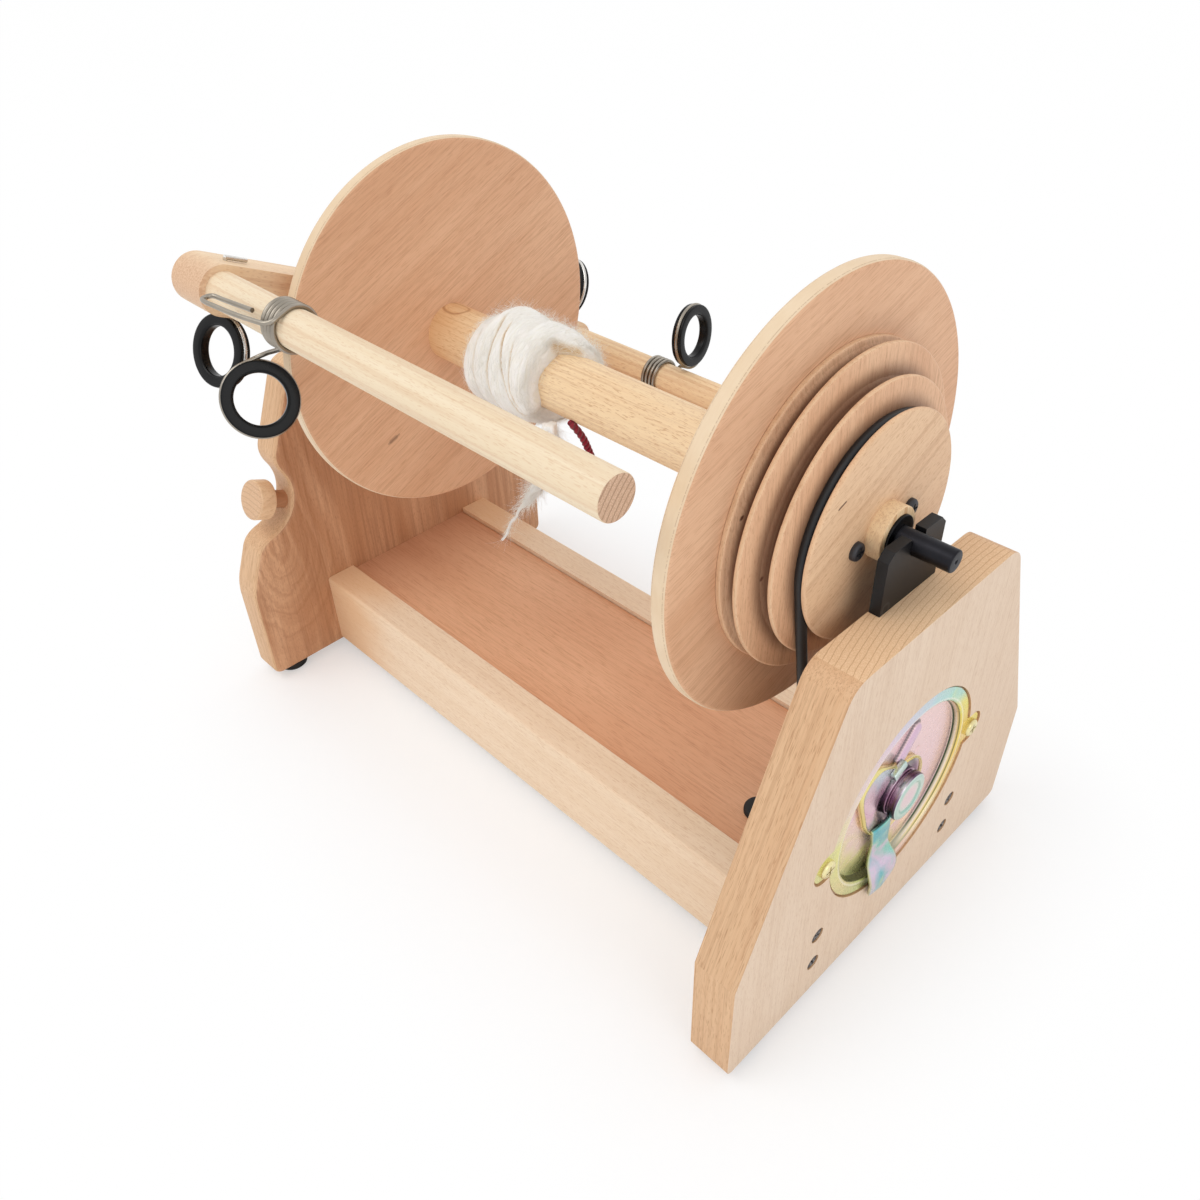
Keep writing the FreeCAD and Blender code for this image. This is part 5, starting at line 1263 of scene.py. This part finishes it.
# pad's corners are (y, z) from the motor's axis, and drop is how far its last three rows turn down; tab's rows are
# (y, z, x, half its width), and its hollow is (across, along, depth)
bracketValues = {"pad": [(-0.0200, 0.0285), (-0.0295, 0.0225), (-0.0285, 0.0150), (-0.0245, 0.0040), (-0.0215, -0.0050),
                         (-0.0150, -0.0135), (-0.0050, -0.0185), (0.0080, -0.0160), (0.0145, -0.0060), (0.0145, 0.0060),
                         (0.0070, 0.0145), (-0.0060, 0.0180)],
                 "shares": (0.0, 0.18, 0.36, 0.5, 0.6, 0.68, 0.75, 0.81, 0.86, 0.895, 0.925, 0.95, 0.97, 0.985, 1.0,
                            1.0, 1.0),
                 "drop": (0.0003, 0.00078, 0.00169), "level": 0.1641, "rise": 0.0009, "sunk": 0.0016, "neck": 0.0094,
                 "ringOut": 0.0150, "padThick": 0.0008, "padEdge": (240, 224, 128), "tabEdge": (206, 206, 160),
                 "tab": [(-0.0110, -0.0085, 0.1648, 0.0060), (-0.0098, -0.0150, 0.1649, 0.0058),
                         (-0.0088, -0.0200, 0.1645, 0.0056), (-0.0082, -0.0255, 0.1643, 0.0062),
                         (-0.0078, -0.0305, 0.1652, 0.0078), (-0.0075, -0.0345, 0.1672, 0.0088),
                         (-0.0072, -0.0385, 0.1682, 0.0088), (-0.0070, -0.0430, 0.1680, 0.0086),
                         (-0.0070, -0.0460, 0.1675, 0.0078), (-0.0070, -0.0480, 0.1672, 0.0062)],
                 "tabThick": 0.0012, "crown": 0.0006, "hollow": (0.15, 6.3, 0.0005),
                 "padStops": [(0.0, (214, 226, 214)), (0.2, (200, 206, 216)), (0.38, (226, 192, 204)),
                              (0.52, (222, 176, 196)), (0.64, (238, 214, 196)), (0.76, (226, 200, 206)),
                              (0.9, (200, 196, 216)), (1.0, (236, 226, 150))],
                 "tabStops": [(0.0, (196, 214, 150)), (0.18, (214, 218, 130)), (0.32, (150, 206, 196)),
                              (0.48, (96, 178, 190)), (0.60, (140, 206, 190)), (0.72, (216, 196, 216)),
                              (0.84, (120, 190, 196)), (1.0, (226, 226, 120))],
                 "deepStops": [(0.0, (88, 62, 84)), (0.35, (62, 44, 60)), (0.55, (120, 88, 116)),
                               (0.8, (150, 170, 160)), (1.0, (88, 62, 84))]}


def bracketFinish(name, stops, edge, deepStops):
    def paint(film, x, y, z, way, drift):
        small = film.noise(film.place(), 160.0, 2.0) - 0.5
        inward, deep, _ = film.flow()
        colour = film.ramp(stops, z * -0.32 + y * -0.22 + drift * 0.9 + small * 0.25 + 0.40)
        colour = film.mix(inward.below(0.10, 0.05) * 0.8, colour, edge)
        return film.mix(deep.above(0.5, 0.3) * 0.9, colour, film.ramp(deepStops, way))

    return filmFinish(name, 0.75, 0.20, paint)


# the bracket's pad: from a sunk ring round the motor's neck out to a rolled border
def makePad(v):
    outline, shares, neck = smoothOutline(v["pad"], 200), np.array(v["shares"])[:, None], v["neck"]
    inner = neck * unit(outline)
    flat = inner + (outline - inner) * shares[..., None]
    border = bell(shares - 0.94, 0.035)
    sunk = bell(np.hypot(flat[..., 0], flat[..., 1]) - neck, (v["ringOut"] - neck) / 1.3, 4)
    x = v["level"] + v["rise"] * border - v["sunk"] * sunk
    x[-3:] -= np.array(v["drop"])[:, None]
    grid = np.stack([x, flat[..., 0], motorHeight + flat[..., 1]], -1)
    mesh = closeUp(gridMesh("bracketPad", grid, flow=(1 - shares, sunk, border)), sharp=60.0)
    look = bracketFinish("padZinc", v["padStops"], v["padEdge"], v["deepStops"])
    pad = settle("bracket_pad", mesh, [look], "motor_strap")
    modified(pad, "thickness", "SOLIDIFY", thickness=v["padThick"], offset=-1.0)


# its tab runs down from the pad, climbs over the plate's rim and ends on the board
def makeTab(v):
    path = np.array(v["tab"])
    at = np.linspace(0, len(path) - 1, 64)
    y, z, x, wide = (np.interp(at, np.arange(len(path)), column) for column in path.T)
    for _ in range(6):
        x[1:-1], wide[1:-1] = (np.convolve(row, (0.25, 0.5, 0.25), "valid") for row in (x, wide))
    wide = wide * np.sqrt(np.clip((np.arange(64)[::-1] + 0.6) / 5.0, 0, 1))
    side, (across, down, deep) = np.linspace(-1, 1, 29), v["hollow"]
    hollow = bell(side - across, 0.25) * bell(at[:, None] - down, 0.9)
    rise = v["crown"] * (1 - side ** 2) - deep * hollow
    places = (x[:, None] + rise, y[:, None] + wide[:, None] * side, motorHeight + z[:, None])
    flow = ((1 - np.abs(side)) * 0.9 + 0.04, 0 * rise, 0.0)
    mesh = gridMesh("bracketTab", np.stack(np.broadcast_arrays(*places), -1), closeColumns=False, flow=flow)
    look = bracketFinish("tabZinc", v["tabStops"], v["tabEdge"], v["deepStops"])
    tab = settle("bracket_tab", closeUp(mesh, sharp=60.0), [look], body=bodyOf["motor_strap"])
    modified(tab, "thickness", "SOLIDIFY", thickness=v["tabThick"], offset=0.0)


lugValues = {"centre": (0.1652, -0.0062, 0.0990), "long": 0.0040, "wide": 0.0022, "high": 0.0012, "lean": 0.42,
             "corner": 0.35, "blunt": 7, "colour": (214, 226, 220), "shade": (150, 190, 186)}


# a bent lug beside the pad: a short bar with a squarish section and blunt ends
def makeLug(v):
    u, turn = np.meshgrid(np.linspace(-1, 1, 25), around(40), indexing="ij")
    end = (1 - np.abs(u) ** v["blunt"]) ** (1 / v["blunt"])
    across, up = (np.sign(way) * np.abs(way) ** v["corner"] * end for way in (np.cos(turn), np.sin(turn)))
    along, across, lean = v["long"] * u, v["wide"] * across, v["lean"]
    x, y, z = v["centre"]
    grid = np.stack([x + v["high"] * up, y + along * math.cos(lean) - across * math.sin(lean),
                     z + along * math.sin(lean) + across * math.cos(lean)], -1)
    steel = metalFinish("lugSteel", v["colour"], v["shade"], 0.2, share=0.6)
    settle("bent_lug", closeUp(gridMesh("bentLug", grid)), [steel], body="frame")


capValues = {"profile": [(0.1624, 0), (0.1624, 0.0102), (0.1646, 0.0102, 0.0004), (0.1649, 0.0090, 0.0002),
                         (0.1654, 0.0090, 0.0002), (0.1657, 0.0102, 0.0004), (0.1689, 0.0102, 0.0011, 1),
                         (0.1689, 0.0071, 0.0003, 1), (0.1684, 0.0063, 0.0003, 1), (0.1684, 0, 0, 1)],
             "side": [(0.0, (60, 46, 58)), (0.06, (40, 34, 40)), (0.14, (150, 146, 150)), (0.20, (70, 56, 70)),
                      (0.30, (52, 60, 52)), (0.40, (110, 140, 104)), (0.52, (150, 180, 150)), (0.62, (110, 96, 110)),
                      (0.74, (96, 64, 92)), (0.84, (206, 200, 206)), (0.92, (120, 90, 116)), (1.0, (60, 46, 58))],
             "face": [(0.0, (232, 206, 214)), (0.42, (234, 214, 216)), (0.58, (214, 222, 214)), (0.66, (150, 190, 176)),
                      (0.74, (196, 222, 210)), (0.90, (176, 206, 196)), (1.0, (226, 232, 226))]}


# the bearing cap: bands round its side with a line in its groove, and rings of colour on its face
def makeCap(v):
    def side(film, x, y, z, way, drift):
        groove = (x - 0.1648).size().below(0.0004, 0.0005)
        return film.mix(groove * 0.6, film.ramp(v["side"], way + drift * 0.10), (200, 150, 180))

    def face(film, x, y, z, way, drift):
        rings = film.ramp(v["face"], (y * y + z * z) ** 0.5 / 0.2267 + drift * 0.12)
        # the face lightens toward its upper right: a painted highlight
        return film.mix((y * 2.4 + z * 1.2 + drift).above(0.62, 0.4) * 0.45, rings, (236, 216, 206))

    looks = [filmFinish("capSide", 0.85, 0.16, side), filmFinish("capFace", 0.85, 0.16, face)]
    turned("bearing_cap", v["profile"], "motor_cap", looks, 96, (0.0, 0.0, motorHeight), closed=False)


# the flat motor: two flanges with a waist between them, and a neck for its shaft
housingValues = {"profile": [(0.1610, 0), (0.1610, 0.033, 0.0006), (0.1570, 0.033, 0.0004), (0.1570, 0.0318, 0.0004),
                             (0.1480, 0.0318, 0.0004), (0.1480, 0.033, 0.0004), (0.1440, 0.033, 0.003),
                             (0.1440, 0.0140, 0.0006), (0.1438, 0.0082, 0.0004), (0.1425, 0.0082, 0.0006),
                             (0.1425, 0.00306, 0.0002), (0.1520, 0.00306), (0.1520, 0)]}


def makeHousing(v):
    turned("motor_case", v["profile"], "motor_housing", [materials["case"]], 120, (0.0, 0.0, motorHeight), closed=False)


makePlate(plateValues)
makePad(bracketValues)
makeTab(bracketValues)
makeLug(lugValues)
makeCap(capValues)
makeHousing(housingValues)
print("stage: motor")
